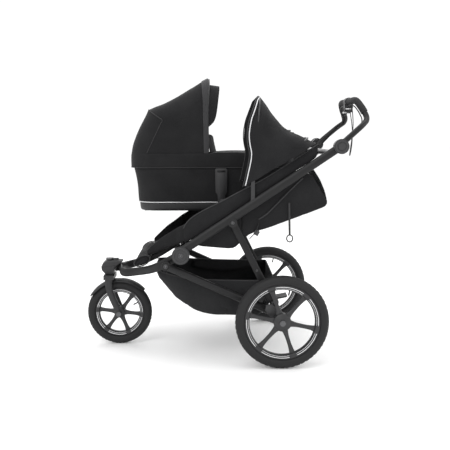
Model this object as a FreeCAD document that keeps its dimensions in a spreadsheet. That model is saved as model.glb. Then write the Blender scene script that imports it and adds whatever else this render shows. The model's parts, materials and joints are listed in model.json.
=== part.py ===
"""Side-by-side double jogging stroller: one seat with a canopy, one clip-on bassinet.

Millimetres. The stroller faces -X, its left side is -Y, +Z is up and the wheels stand on Z = 0.
The origin is on the ground at the middle of the overall length and width.
"""
import FreeCAD, Part
import math
import os

from FreeCAD import Placement, Rotation, Vector

doc = FreeCAD.newDocument("jogging_stroller")
sheet = doc.addObject("Spreadsheet::Sheet", "Sizes")

# ---------------------------------------------------------------- driving dimensions
SIZES = [
    ("clearance", 1.0, "side gap between moving faces"),
    ("running_gap", 0.05, "radial gap of a pin in its bore"),
    ("rear_axle_x", 247, "rear axle, from the origin"),
    ("rear_wheel_rad", 200, "rear tyre outside radius"),
    ("rear_tyre_wide", 46, "rear tyre section"),
    ("rear_track_half", 365, "rear wheel plane to middle"),
    ("rear_rim_outer", 161, "rear rim, tyre seat"),
    ("rear_rim_inner", 141, "rear rim, inside edge"),
    ("rear_hub_rad", 38, "rear hub disc"),
    ("rear_hub_half", 22, "half length of rear hub"),
    ("front_axle_x", -487, "front axle, from the origin"),
    ("front_wheel_rad", 152.5, "front tyre outside radius"),
    ("front_tyre_wide", 44, "front tyre section"),
    ("front_rim_outer", 114, "front rim, tyre seat"),
    ("front_rim_inner", 95, "front rim, inside edge"),
    ("front_hub_rad", 26, "front hub disc"),
    ("front_hub_half", 24, "half length of front hub"),
    ("spoke_count", 6, "spokes in each wheel"),
    ("spoke_wide", 20, "spoke at its middle"),
    ("spoke_thick", 12, "spoke along the axle"),
    ("axle_rad", 6, "stub axles"),
    ("axle_tube_rad", 14, "rear cross axle"),
    ("steer_x", -532, "steering axis"),
    ("stem_rad", 12, "fork stem"),
    ("head_rad", 29, "steering head housing"),
    ("head_low", 336, "steering head, lower face"),
    ("head_high", 402, "steering head, upper face"),
    ("fork_half", 44, "fork leg plane to middle"),
    ("fender_gap", 6, "fender above the tyre"),
    ("fender_wide", 60, "fender width"),
    ("fold_x", -183, "fold pivot"),
    ("fold_z", 480, "fold pivot"),
    ("fold_hub_rad", 38, "fold hub cover"),
    ("pin_rad", 8, "fold pin"),
    ("frame_half", 318, "main tube plane to middle"),
    ("tube_deep", 38, "main tube section, tall"),
    ("tube_wide", 24, "main tube section, across"),
    ("hub_x", 497, "handlebar hub"),
    ("hub_z", 942, "handlebar hub"),
    ("hub_rad", 32, "handlebar hub cover"),
    ("main_rise", 14, "main tube line above the fold pivot"),
    ("strut_x", 38, "strut pivot"),
    ("strut_z", 619, "strut pivot"),
    ("strut_deep", 30, "strut section, tall"),
    ("strut_thick", 9, "strut section, across"),
    ("strut_half", 295.5, "strut plane to middle"),
    ("stay_x", -249, "lower stay pivot"),
    ("stay_z", 426, "lower stay pivot"),
    ("stay_half", 283, "lower stay at its pivot, to middle"),
    ("stay_rear_half", 262, "lower stay at the axle, to middle"),
    ("stay_rad", 16, "lower stay tube"),
    ("cross_rad", 13, "cross tubes"),
    ("grip_rad", 15.5, "foam grip"),
    ("bar_rad", 12.5, "handlebar tube"),
    ("seat_inner", 16, "seat edge nearest the middle"),
    ("seat_low_outer", 284, "seat edge below the main tube"),
    ("seat_band_inner", 301, "seat band above the main tube"),
    ("panel_thick", 4, "seat side panel"),
    ("canopy_x", 124, "canopy pivot"),
    ("canopy_z", 820, "canopy pivot"),
    ("canopy_front_reach", 336, "front bow length"),
    ("canopy_rear_reach", 290, "rear bow length"),
    ("canopy_front_turn", 84.7, "front bow above the horizontal, degrees"),
    ("canopy_rear_turn", 33, "rear bow above the horizontal, degrees"),
    ("bow_rad", 4, "canopy bow rod"),
    ("peg_rad", 5, "canopy pivot peg"),
    ("hood_peg_rad", 4, "hood pivot peg"),
    ("lever_pin_rad", 3, "brake lever pin"),
    ("cloth_thick", 3, "canopy cloth shell"),
    ("bassinet_front", -437, "bassinet head end"),
    ("bassinet_back", 347, "bassinet foot end"),
    ("bassinet_side", 18.5, "bassinet edge nearest the middle"),
    ("bassinet_wide", 280, "bassinet width"),
    ("bassinet_round", 95, "bassinet corner radius"),
    ("tub_inset", 5, "bassinet tub inside the rail, at the sides"),
    ("tub_end_inset", 18, "bassinet tub's ends, further inside the rail"),
    ("tray_inset", 10, "bassinet tray inside the rail, at the sides"),
    ("tray_low", 628, "bassinet tray underside"),
    ("tray_high", 671, "bassinet tray upper edge"),
    ("rail_low", 835, "bassinet rail lower edge"),
    ("rail_high", 904, "bassinet rail upper edge"),
    ("hood_x", -72, "hood pivot"),
    ("hood_z", 914, "hood pivot"),
    ("hood_front_reach", 342, "hood front bow length"),
    ("hood_rear_reach", 340, "hood rear bow length"),
    ("hood_front_turn", 88, "hood front bow above the horizontal, degrees"),
    ("hood_rear_turn", 145.5, "hood rear bow above the horizontal, degrees"),
    ("basket_half", 242, "basket half width"),
    ("wall", 4, "basket wall"),
    ("bar_x", 590, "crossbar of the handlebar"),
    ("bar_z", 1144, "crossbar of the handlebar"),
    ("bar_straight", 110, "half length of the crossbar's straight run"),
    ("cable_rad", 2.5, "brake cable housing"),
    ("strap_rad", 2, "wrist strap cord"),
    ("pull_rad", 4.5, "recline pull strap"),
]
for row, (alias, value, meaning) in enumerate(SIZES, start=1):
    sheet.set("A%d" % row, alias)
    sheet.set("B%d" % row, str(value))
    sheet.set("C%d" % row, meaning)
    sheet.setAlias("B%d" % row, alias)
doc.recompute()

PIECES = {}
SIDES = (("left", -1), ("right", 1))


def size(alias):
    """A driving dimension, read from the sheet."""
    return float(sheet.get(alias))


def keep(name, obj):
    """Hand an object in as the sub-part called name."""
    obj.Label = name
    PIECES[name] = obj
    return obj


def feature(name, shape):
    """A sub-part or helper whose shape is worked out here."""
    obj = doc.addObject("Part::Feature", name)
    obj.Shape = shape
    return obj


def rod(name, radius, low, high, place=(0, 0, 0), along="y"):
    """A cylinder from low to high along an axis; radius is a sheet formula."""
    obj = doc.addObject("Part::Cylinder", name)
    obj.setExpression("Radius", radius)
    obj.Height = high - low
    x, y, z = place
    if along == "y":
        obj.Placement = Placement(Vector(x, low, z), Rotation(Vector(1, 0, 0), -90))
    elif along == "x":
        obj.Placement = Placement(Vector(low, y, z), Rotation(Vector(0, 1, 0), 90))
    else:
        obj.Placement = Placement(Vector(x, y, low), Rotation())
    return obj


def block(name, low, high):
    """A box between two corners."""
    obj = doc.addObject("Part::Box", name)
    obj.Length, obj.Width, obj.Height = [high[k] - low[k] for k in range(3)]
    obj.Placement.Base = Vector(*low)
    return obj


def fuse(name, objects):
    obj = doc.addObject("Part::MultiFuse", name)
    obj.Shapes = objects
    return obj


def cut(name, base, tool):
    obj = doc.addObject("Part::Cut", name)
    obj.Base = base
    obj.Tool = tool
    return obj


def group(name, objects):
    """Several like solids handed in as one sub-part."""
    obj = doc.addObject("Part::Compound", name)
    obj.Links = objects
    return obj


def rounded_path(points, radius):
    """Straight runs joined by tangent arcs through points."""
    points = [Vector(*p) for p in points]
    edges = []
    start = points[0]
    for before, corner, after in zip(points, points[1:], points[2:]):
        into = (corner - before).normalize()
        out = (after - corner).normalize()
        half = math.acos(max(-1.0, min(1.0, into.dot(out)))) / 2
        reach = 0.45 * min((corner - before).Length, (after - corner).Length)
        back = min(reach, radius * math.tan(half))
        first = corner - into * back
        last = corner + out * back
        middle_way = (out - into).normalize()
        bend = back / math.tan(half)
        middle = corner + middle_way * (bend / math.cos(half) - bend)
        edges.append(Part.LineSegment(start, first).toShape())
        edges.append(Part.Arc(first, middle, last).toShape())
        start = last
    edges.append(Part.LineSegment(start, points[-1]).toShape())
    return Part.Wire(edges)


def pipe(name, points, radius, bend):
    """A round tube swept along a bent path; radius is a sheet formula."""
    spine = feature(name + "_path", rounded_path(points, bend))
    section = doc.addObject("Part::Circle", name + "_section")
    section.setExpression("Radius", radius)
    way = Vector(*points[1]) - Vector(*points[0])
    section.Placement = Placement(Vector(*points[0]), Rotation(Vector(0, 0, 1), way))
    sweep = doc.addObject("Part::Sweep", name)
    sweep.Sections = [section]
    sweep.Spine = (spine, ["Edge%d" % (n + 1) for n in range(len(spine.Shape.Edges))])
    sweep.Solid = True
    sweep.Transition = "Transformed"
    return sweep


def oval(centre, along, tall, wide):
    """An oval section wire, square to a direction, tall in the XZ plane."""
    along = Vector(*along).normalize()
    across = Vector(0, 1, 0) - along * along.y
    across.normalize()
    up = along.cross(across)
    ellipse = Part.Ellipse(
        Vector(*centre) + up * (tall / 2), Vector(*centre) + across * (wide / 2), Vector(*centre))
    return Part.Wire([ellipse.toShape()])


def oval_tube(name, stations):
    """A formed oval tube lofted through stations of (centre, tall, wide)."""
    wires = []
    for n, (centre, tall, wide) in enumerate(stations):
        before = stations[max(n - 1, 0)][0]
        after = stations[min(n + 1, len(stations) - 1)][0]
        along = [after[k] - before[k] for k in range(3)]
        wires.append(feature("%s_station_%d" % (name, n), oval(centre, along, tall, wide)))
    loft = doc.addObject("Part::Loft", name)
    loft.Sections = wires
    loft.Solid = True
    return loft


def slab(name, outline, low, high):
    """A side outline in XZ, padded across from Y low to Y high."""
    body = doc.addObject("PartDesign::Body", name)
    plane = [f for f in body.Origin.OriginFeatures if f.Role == "XZ_Plane"][0]
    sketch = body.newObject("Sketcher::SketchObject", name + "_outline")
    sketch.AttachmentSupport = [(plane, "")]
    sketch.MapMode = "FlatFace"
    for a, b in zip(outline, outline[1:] + outline[:1]):
        sketch.addGeometry(Part.LineSegment(Vector(*a, 0), Vector(*b, 0)), False)
    pad = body.newObject("PartDesign::Pad", name + "_pad")
    pad.Profile = sketch
    pad.Length = high - low
    body.Placement.Base = Vector(0, high, 0)
    body.Tip = pad
    return body


def span(sign, inner, outer):
    """Low and high Y of a stretch at inner..outer from the middle, on one side."""
    return sorted((sign * inner, sign * outer))


def ring_points(centre, radius, first, last, count):
    """Points of an arc in the XZ plane; turns in degrees."""
    x, z = centre
    turns = [first + (last - first) * n / (count - 1) for n in range(count)]
    return [(x + radius * math.cos(math.radians(t)), z + radius * math.sin(math.radians(t)))
            for t in turns]


# ---------------------------------------------------------------- wheels
def wheel(prefix, kind, centre_x, centre_y):
    """Tyre and spoked rim about a centre; the rim's bore runs on a stub axle."""
    radius, wide = size(kind + "_wheel_rad"), size(kind + "_tyre_wide")
    centre = (centre_x, centre_y, radius)

    seat, section = size(kind + "_rim_outer"), wide / 2
    half = math.sqrt(section ** 2 - (radius - section - seat) ** 2)
    low, high = Vector(centre_x + seat, centre_y - half, radius), Vector(centre_x + seat, centre_y + half, radius)
    crown = Part.Arc(low, Vector(centre_x + radius, centre_y, radius), high)
    outline = Part.Wire([crown.toShape(), Part.LineSegment(high, low).toShape()])
    tyre = doc.addObject("Part::Revolution", prefix + "_tyre")
    tyre.Source = feature(prefix + "_tyre_section", Part.Face(outline))
    tyre.Axis = Vector(0, 1, 0)
    tyre.Base = Vector(*centre)
    tyre.Angle = 360
    tyre.Solid = True
    keep(prefix + "_tyre", tyre)

    body = doc.addObject("PartDesign::Body", prefix + "_rim")
    planes = {f.Role: f for f in body.Origin.OriginFeatures}
    hub, inner, outer = [size("%s_%s" % (kind, k)) for k in ("hub_rad", "rim_inner", "rim_outer")]
    half, bore = size(kind + "_hub_half"), size("axle_rad") + size("running_gap")

    def turned(name, outline):
        sketch = body.newObject("Sketcher::SketchObject", prefix + name)
        sketch.AttachmentSupport = [(planes["XY_Plane"], "")]
        sketch.MapMode = "FlatFace"
        for a, b in zip(outline, outline[1:] + outline[:1]):
            sketch.addGeometry(Part.LineSegment(Vector(*a, 0), Vector(*b, 0)), False)
        turn = body.newObject("PartDesign::Revolution", prefix + name + "_turned")
        turn.Profile = sketch
        turn.ReferenceAxis = (sketch, ["V_Axis"])
        turn.Angle = 360
        return turn

    step = 0.55 * hub
    turned("_hub_section", [(bore, -half), (step, -half), (hub, -half + 6), (hub, half - 6),
                            (step, half), (bore, half)])
    spokes = body.newObject("Sketcher::SketchObject", prefix + "_spoke_outline")
    spokes.AttachmentSupport = [(planes["XZ_Plane"], "")]
    spokes.MapMode = "FlatFace"
    waist, flare = size("spoke_wide") / 2, size("spoke_wide") * 0.8
    near, far = hub - 3, inner + 4
    outline = [(near, -flare), (near + 16, -waist), (far - 16, -waist), (far, -flare),
               (far, flare), (far - 16, waist), (near + 16, waist), (near, flare)]
    lean = math.radians(48)
    outline = [(a * math.cos(lean) - b * math.sin(lean), a * math.sin(lean) + b * math.cos(lean))
               for a, b in outline]
    for a, b in zip(outline, outline[1:] + outline[:1]):
        spokes.addGeometry(Part.LineSegment(Vector(*a, 0), Vector(*b, 0)), False)
    pad = body.newObject("PartDesign::Pad", prefix + "_spoke")
    pad.Profile = spokes
    pad.SideType = "Symmetric"
    pad.setExpression("Length", "Sizes.spoke_thick")
    pattern = body.newObject("PartDesign::PolarPattern", prefix + "_spokes")
    pattern.Originals = [pad]
    pattern.Axis = (planes["Y_Axis"], [""])
    pattern.Angle = 360
    pattern.setExpression("Occurrences", "Sizes.spoke_count")
    body.Tip = pattern
    edge = wide * 0.36
    tip = turned("_rim_section", [(inner, -6), (inner + 3, -edge * 0.7), (outer - 6, -edge), (outer, -edge),
                                  (outer, edge), (outer - 6, edge), (inner + 3, edge * 0.7), (inner, 6)])
    body.Tip = tip
    body.Placement.Base = Vector(*centre)
    keep(prefix + "_rim", body)


for side, sign in SIDES:
    wheel("rear_wheel_" + side, "rear", size("rear_axle_x"), sign * size("rear_track_half"))
wheel("front_wheel", "front", size("front_axle_x"), 0)


# ---------------------------------------------------------------- rear chassis
def rear_chassis():
    """Cross axle with stub ends, end brackets, lower stays, springs, brake pedal and calipers."""
    x, z = size("rear_axle_x"), size("rear_wheel_rad")
    plane = size("rear_track_half")
    hub_half = size("rear_hub_half")
    shoulder = plane - hub_half - size("clearance")
    tube = rod("axle_cross_tube", "Sizes.axle_tube_rad", -shoulder, shoulder, (x, 0, z))
    stubs = []
    caps = []
    for side, sign in SIDES:
        low, high = span(sign, shoulder - 2, plane + hub_half + 3)
        stubs.append(rod("stub_axle_" + side, "Sizes.axle_rad", low, high, (x, 0, z)))
        low, high = span(sign, plane + hub_half + 1, plane + hub_half + 7)
        caps.append(rod("wheel_cap_" + side, "Sizes.axle_rad * 2", low, high, (x, 0, z)))
    keep("rear_axle", fuse("rear_axle", [tube] + stubs))
    releases = [cut("wheel_release_%d" % n, cap, stub) for n, (cap, stub) in enumerate(zip(caps, stubs))]
    keep("wheel_releases", group("wheel_releases", releases))

    gx, gz = size("stay_x"), size("stay_z")
    length = math.hypot(x - gx, z - gz)
    ux, uz = (x - gx) / length, (z - gz) / length
    y = size("stay_half")
    stays = []
    for side, sign in SIDES:
        rear_y = size("stay_rear_half")
        stay = pipe("stay_tube_" + side, [(gx + 14 * ux, sign * y, gz + 14 * uz),
                                          (gx + 0.5 * length * ux, sign * (y - 6), gz + 0.5 * length * uz),
                                          (x - 8 * ux, sign * rear_y, z - 8 * uz)], "Sizes.stay_rad", 2000)
        low, high = span(sign, y - 8, y + 8)
        eye = rod("stay_eye_" + side, "Sizes.stay_rad + 4", low, high, (gx, 0, gz))
        bore = rod("stay_bore_" + side, "Sizes.pin_rad + Sizes.running_gap", low - 20, high + 20, (gx, 0, gz))
        axle = rod("stay_axle_hole_" + side, "Sizes.axle_tube_rad", low - 60, high + 60, (x, 0, z))
        whole = fuse("stay_whole_" + side, [stay, eye])
        bored = cut("stay_bored_" + side, whole, bore)
        stays.append(cut("lower_stay_" + side, bored, axle))
    keep("lower_stays", group("lower_stays", stays))

    # a bracket each side of the strut's foot, rising from the axle along the strut
    px, pz = size("strut_x"), size("strut_z")
    length = math.hypot(px - x, pz - z)
    sx, sz = (px - x) / length, (pz - z) / length
    brackets = []
    for side, sign in SIDES:
        cheeks = []
        middle = sign * size("strut_half")
        for n, inner in enumerate((middle - 12, middle + 6)):
            wide = size("strut_deep") / 2 + 5
            outline = [(x + wide * sz, z - wide * sx), (x + 78 * sx + 10 * sz, z + 78 * sz - 10 * sx),
                       (x + 78 * sx - 10 * sz, z + 78 * sz + 10 * sx), (x - wide * sz, z + wide * sx)]
            cheeks.append(slab("cheek_%s_%d" % (side, n), outline, inner, inner + 6))
            cheeks.append(rod("cheek_boss_%s_%d" % (side, n), "Sizes.axle_tube_rad + 7", inner, inner + 6,
                              (x, 0, z)))
        solid = fuse("cheek_pair_" + side, cheeks)
        hole = rod("cheek_hole_" + side, "Sizes.axle_tube_rad", middle - 30, middle + 30, (x, 0, z))
        brackets.append(cut("axle_bracket_" + side, solid, hole))
    keep("axle_brackets", group("axle_brackets", brackets))

    springs = []
    for side, sign in SIDES:
        low, high = span(sign, 252, 276)
        outline = [(132, 272), (196, 243), (210, 270), (148, 301)]
        springs.append(slab("spring_housing_" + side, outline, low, high))
    keep("suspension_housings", group("suspension_housings", springs))

    brakes = []
    for side, sign in SIDES:
        low, high = span(sign, 316, 326)
        outline = [(178, 238), (214, 190), (240, 176), (264, 184), (270, 206), (240, 232), (206, 266), (182, 262)]
        plate = slab("brake_plate_" + side, outline, low, high)
        hole = rod("brake_hole_" + side, "Sizes.axle_tube_rad", low - 5, high + 5, (x, 0, z))
        brakes.append(cut("brake_caliper_" + side, plate, hole))
    keep("brake_calipers", group("brake_calipers", brakes))

    bar = rod("pedal_pivot", "Sizes.axle_tube_rad + 6", -34, 34, (x, 0, z))
    plate = slab("pedal_plate", [(x - 4, z + 12), (x + 58, z + 24), (x + 60, z + 32), (x - 2, z + 20)], -34, 34)
    arm = fuse("pedal_whole", [bar, plate])
    hole = rod("pedal_bore", "Sizes.axle_tube_rad + Sizes.running_gap", -40, 40, (x, 0, z))
    keep("parking_pedal", cut("parking_pedal", arm, hole))


rear_chassis()


# ---------------------------------------------------------------- struts
def struts():
    """Side struts from the main tubes down to the axle brackets."""
    x, z = size("rear_axle_x"), size("rear_wheel_rad")
    px, pz = size("strut_x"), size("strut_z")
    length = math.hypot(px - x, pz - z)
    ux, uz = (x - px) / length, (z - pz) / length
    pair = []
    for side, sign in SIDES:
        deep = size("strut_deep")
        middle = sign * size("strut_half")
        thick = size("strut_thick")
        stations = [((px + d * ux, middle, pz + d * uz), deep, thick) for d in (8, 220, length - 34)]
        tube = oval_tube("strut_tube_" + side, stations)
        low, high = middle - thick / 2, middle + thick / 2
        eye = rod("strut_eye_" + side, "Sizes.strut_deep / 2 + 4", low, high, (px, 0, pz))
        solid = fuse("strut_whole_" + side, [tube, eye])
        bore = rod("strut_bore_" + side, "Sizes.pin_rad + Sizes.running_gap", low - 9, high + 9, (px, 0, pz))
        pair.append(cut("strut_" + side, solid, bore))
    keep("struts", group("struts", pair))


struts()


# ---------------------------------------------------------------- main frame
def main_line(x):
    """Height of the main tube's centre line."""
    low_z = size("fold_z") + size("main_rise")
    slope = (size("hub_z") - low_z) / (size("hub_x") - size("fold_x"))
    return low_z + slope * (x - size("fold_x"))


def main_frame():
    """Main tubes with their pivots, fold covers, cross tubes and the rail between the seats."""
    fx, fz = size("fold_x"), size("fold_z")
    hx, hz = size("hub_x"), size("hub_z")
    px, pz = size("strut_x"), size("strut_z")
    y = size("frame_half")
    deep, wide = size("tube_deep"), size("tube_wide")
    for side, sign in SIDES:
        line = [(x, sign * y, main_line(x)) for x in (fx - 6, -60, 160, 380, hx)]
        tall = (deep - 2, deep, deep, deep - 2, deep - 4)
        tube = oval_tube("main_oval_" + side, [(p, t, wide) for p, t in zip(line, tall)])
        low, high = span(sign, y - wide / 2, y + wide / 2)
        fold = rod("fold_yoke_" + side, "Sizes.fold_hub_rad - 4", low, high, (fx, 0, fz))
        lug = rod("strut_lug_" + side, "Sizes.strut_deep / 2 + 5", low, high, (px, 0, pz))
        head = rod("hub_yoke_" + side, "Sizes.hub_rad - 2", low, high, (hx, 0, hz))
        pin_low, pin_high = span(sign, 272, y)
        fold_pin = rod("fold_pin_" + side, "Sizes.pin_rad", pin_low, pin_high, (fx, 0, fz))
        pin_low, pin_high = span(sign, 289.5, y)
        strut_pin = rod("strut_pin_" + side, "Sizes.pin_rad", pin_low, pin_high, (px, 0, pz))
        keep("main_tube_" + side,
             fuse("main_tube_" + side, [tube, fold, lug, head, fold_pin, strut_pin]))
    covers = []
    for side, sign in SIDES:
        low, high = span(sign, y + wide / 2, y + wide / 2 + 8)
        covers.append(rod("fold_cover_" + side, "Sizes.fold_hub_rad", low, high, (fx, 0, fz)))
        disc = rod("hub_cover_round_" + side, "Sizes.hub_rad", low, high, (hx, 0, hz))
        hole = rod("hub_cover_hole_" + side, "Sizes.hub_rad - 17", low - 5, high + 5, (hx, 0, hz))
        covers.append(cut("hub_cover_" + side, disc, hole))
    keep("pivot_covers", group("pivot_covers", covers))

    front = rod("cross_front", "Sizes.cross_rad", -272, 272, (fx, 0, fz))
    rear_x = 455
    reach = y - wide / 2
    rear = rod("cross_rear", "Sizes.cross_rad", -reach, reach, (rear_x, 0, main_line(rear_x)))
    rail = pipe("middle_rail", [(fx, 0, fz), (fx + 60, 0, main_line(fx + 60)), (rear_x, 0, main_line(rear_x))],
                "Sizes.cross_rad - 2", 200)
    keep("seat_frame", fuse("seat_frame", [front, rear, rail]))


main_frame()


def front_frame():
    """Front tubes that converge on the steering head, with the fold discs and stay pins."""
    fx, fz = size("fold_x"), size("fold_z")
    gx, gz = size("stay_x"), size("stay_z")
    stations = [((fx, 297, fz), 40, 13), ((-204, 277, 464), 40, 15), ((-226, 252, 448), 40, 18),
                ((-268, 232, 422), 40, 22), ((-327, 186, 392), 38, 24), ((-408, 120, 368), 38, 24),
                ((-470, 60, 362), 38, 24), ((-520, 17, 362), 38, 24)]
    tube = oval_tube("front_oval", stations)
    disc = rod("fold_disc", "Sizes.fold_hub_rad - 4", 291, 304, (fx, 0, fz))
    pin = rod("stay_pin", "Sizes.pin_rad", 240, 294, (gx, 0, gz))
    cap = rod("stay_cap", "Sizes.pin_rad + 5", 292, 296, (gx, 0, gz))
    solid = fuse("front_whole", [tube, disc, pin, cap])
    bore = rod("fold_bore", "Sizes.pin_rad + Sizes.running_gap", 260, 330, (fx, 0, fz))
    bored = cut("front_bored", solid, bore)
    clear = rod("head_room", "Sizes.head_rad", size("head_low") - 9, size("head_high"),
                (size("steer_x"), 0, 0), "z")
    right = cut("front_tube_right", bored, clear)
    left = doc.addObject("Part::Mirroring", "front_tube_left")
    left.Source = right
    left.Base = Vector(0, 0, 0)
    left.Normal = Vector(0, 1, 0)
    keep("front_tubes", group("front_tubes", [left, right]))

    x = size("steer_x")
    drum = rod("head_drum", "Sizes.head_rad", size("head_low"), size("head_high"), (x, 0, 0), "z")
    hollow = rod("head_bore", "Sizes.stem_rad + Sizes.running_gap", size("head_low") - 2,
                 size("head_high") - 6, (x, 0, 0), "z")
    keep("steering_head", cut("steering_head", drum, hollow))

    knob_low = size("head_high") + 1
    knob = rod("lock_disc", "Sizes.head_rad - 11", knob_low, knob_low + 9, (x, 0, 0), "z")
    tab = block("lock_tab", (x, -7, knob_low + 1), (x + 42, 7, knob_low + 8))
    keep("swivel_lock_lever", fuse("swivel_lock_lever", [knob, tab]))

    tilt = math.radians(25)
    foot_outline = []
    for n in range(14):
        turn = math.tau * n / 14
        along, across = 38 * math.cos(turn), 21 * math.sin(turn)
        foot_outline.append((-360 + along * math.cos(tilt) - across * math.sin(tilt),
                             433 + along * math.sin(tilt) + across * math.cos(tilt)))
    keep("footrest_pad", slab("footrest_pad", foot_outline, -200, 200))


front_frame()


# ---------------------------------------------------------------- fork
def fork():
    """Caster fork: stem, crown and two swept legs, with its axle and the fender."""
    x = size("steer_x")
    ax, az = size("front_axle_x"), size("front_wheel_rad")
    half = size("fork_half")
    crown_top = size("head_low") - size("clearance")
    crown = block("crown_plate", (x - 24, -half - 8, crown_top - 20), (x + 24, half + 8, crown_top))
    stem = rod("fork_stem", "Sizes.stem_rad", crown_top - 4, size("head_high") - 8, (x, 0, 0), "z")
    parts = [crown, stem]
    for side, sign in SIDES:
        stations = [((x + 3, sign * half, crown_top - 6), 38, 15), ((x + 6, sign * half, 252), 30, 15),
                    ((x + 26, sign * half, 200), 27, 14), ((ax, sign * half, az - 6), 25, 14)]
        parts.append(oval_tube("fork_leg_" + side, stations))
    whole = fuse("fork_whole", parts)
    hole = rod("fork_axle_hole", "Sizes.axle_rad", -half - 20, half + 20, (ax, 0, az))
    keep("fork", cut("fork", whole, hole))
    bolt = rod("axle_bolt", "Sizes.axle_rad", -half - 9, half + 9, (ax, 0, az))
    heads = []
    for side, sign in SIDES:
        low, high = span(sign, half + 8, half + 13)
        heads.append(rod("axle_head_" + side, "Sizes.axle_rad + 5", low, high, (ax, 0, az)))
    keep("front_axle", fuse("front_axle", [bolt] + heads))

    inner = size("front_wheel_rad") + size("fender_gap")
    first, last = 50, 145
    outline = ring_points((ax, az), inner + 3, first, last, 24)
    outline += ring_points((ax, az), inner, last, first, 24)
    wide = size("fender_wide") / 2
    blade = slab("fender_blade", outline, -wide, wide)
    foot = block("fender_foot", (x - 13, -12, az + inner - 8), (x + 13, 12, crown_top - 20))
    keep("fender", fuse("fender", [blade, foot]))


fork()


# ---------------------------------------------------------------- handlebar
def handlebar():
    """Tilting loop handlebar with its hubs, buttons, foam grip and brake lever."""
    hx, hz = size("hub_x"), size("hub_z")
    y = size("frame_half")
    half = size("tube_wide") / 2
    bx, bz, straight = size("bar_x"), size("bar_z"), size("bar_straight")
    arm = [(hx, 292, hz), (hx + 26, 292, hz + 26), (hx + 98, 276, hz + 88), (631, 232, 1060),
           (606, 205, 1112), (592, 158, 1142), (bx, straight, bz)]
    path = [(px, -py, pz) for px, py, pz in arm] + arm[::-1]
    tube = pipe("handlebar_tube", path, "Sizes.bar_rad", 60)
    parts = [tube]
    for side, sign in SIDES:
        low, high = span(sign, 291, y - half - 1)
        parts.append(rod("bar_disc_" + side, "Sizes.hub_rad - 3", low, high, (hx, 0, hz)))
    whole = fuse("handlebar_whole", parts)
    keep("handlebar", whole)

    sleeves = [rod("grip_middle", "Sizes.grip_rad", -straight, straight, (bx, 0, bz))]
    for side, sign in SIDES:
        sleeves.append(pipe("grip_bend_" + side, [(bx, sign * (straight - 1), bz), (592, sign * 158, 1142),
                                                  (606, sign * 205, 1112), (616.6, sign * 216, 1090)],
                            "Sizes.grip_rad", 60))
    keep("handlebar_grip", cut("handlebar_grip", fuse("grip_whole", sleeves), tube))

    for side, sign in SIDES:
        low, high = span(sign, y + half + 4, y + half + 10.5)
        keep("tilt_button_" + side,
             rod("tilt_button_" + side, "Sizes.hub_rad - 17.4", low, high, (hx, 0, hz)))

    clamp = rod("lever_clamp", "Sizes.grip_rad + 4", -22, 22, (bx, 0, bz))
    perch = block("lever_perch", (572, -18, 1114), (610, 18, 1132))
    ears = [block("lever_ear_%d" % n, (a, -7, 1096), (a + 4, 7, 1116)) for n, a in enumerate((572, 606))]
    pin = rod("lever_pin", "Sizes.lever_pin_rad", 573, 609, (0, 0, 1104), "x")
    body = fuse("lever_body", [clamp, perch, pin] + ears)
    room = rod("lever_clamp_hole", "Sizes.grip_rad + 0.2", -30, 30, (bx, 0, bz))
    keep("brake_perch", cut("brake_perch", body, room))
    blade = slab("lever_blade", [(578, 1106.5), (604, 1106.5), (604, 1096), (596, 1090), (580, 1096)], -11, 11)
    boss = rod("lever_boss", "Sizes.lever_pin_rad * 2", 577, 605, (0, 0, 1104), "x")
    lever = fuse("lever_whole", [blade, boss, block("lever_reach", (584, -11, 1093), (600, 96, 1101))])
    bore = rod("lever_bore", "Sizes.lever_pin_rad + Sizes.running_gap", 570, 612, (0, 0, 1104), "x")
    keep("brake_lever", cut("brake_lever", lever, bore))


handlebar()


def brake_cables():
    """Cable housings clipped under the crossbar and along both arms, into the hubs."""
    cables = []
    for side, sign in SIDES:
        route = [(578, sign * 19, 1121), (580, sign * 70, 1124), (582, sign * 120, 1124),
                 (586, sign * 162, 1117), (597, sign * 194, 1092), (611, sign * 215, 1055),
                 (586, sign * 255, 1018), (552, sign * 272, 982), (518, sign * 286, 944)]
        cables.append(pipe("brake_cable_" + side, route, "Sizes.cable_rad", 60))
    keep("brake_cables", group("brake_cables", cables))


brake_cables()


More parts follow.
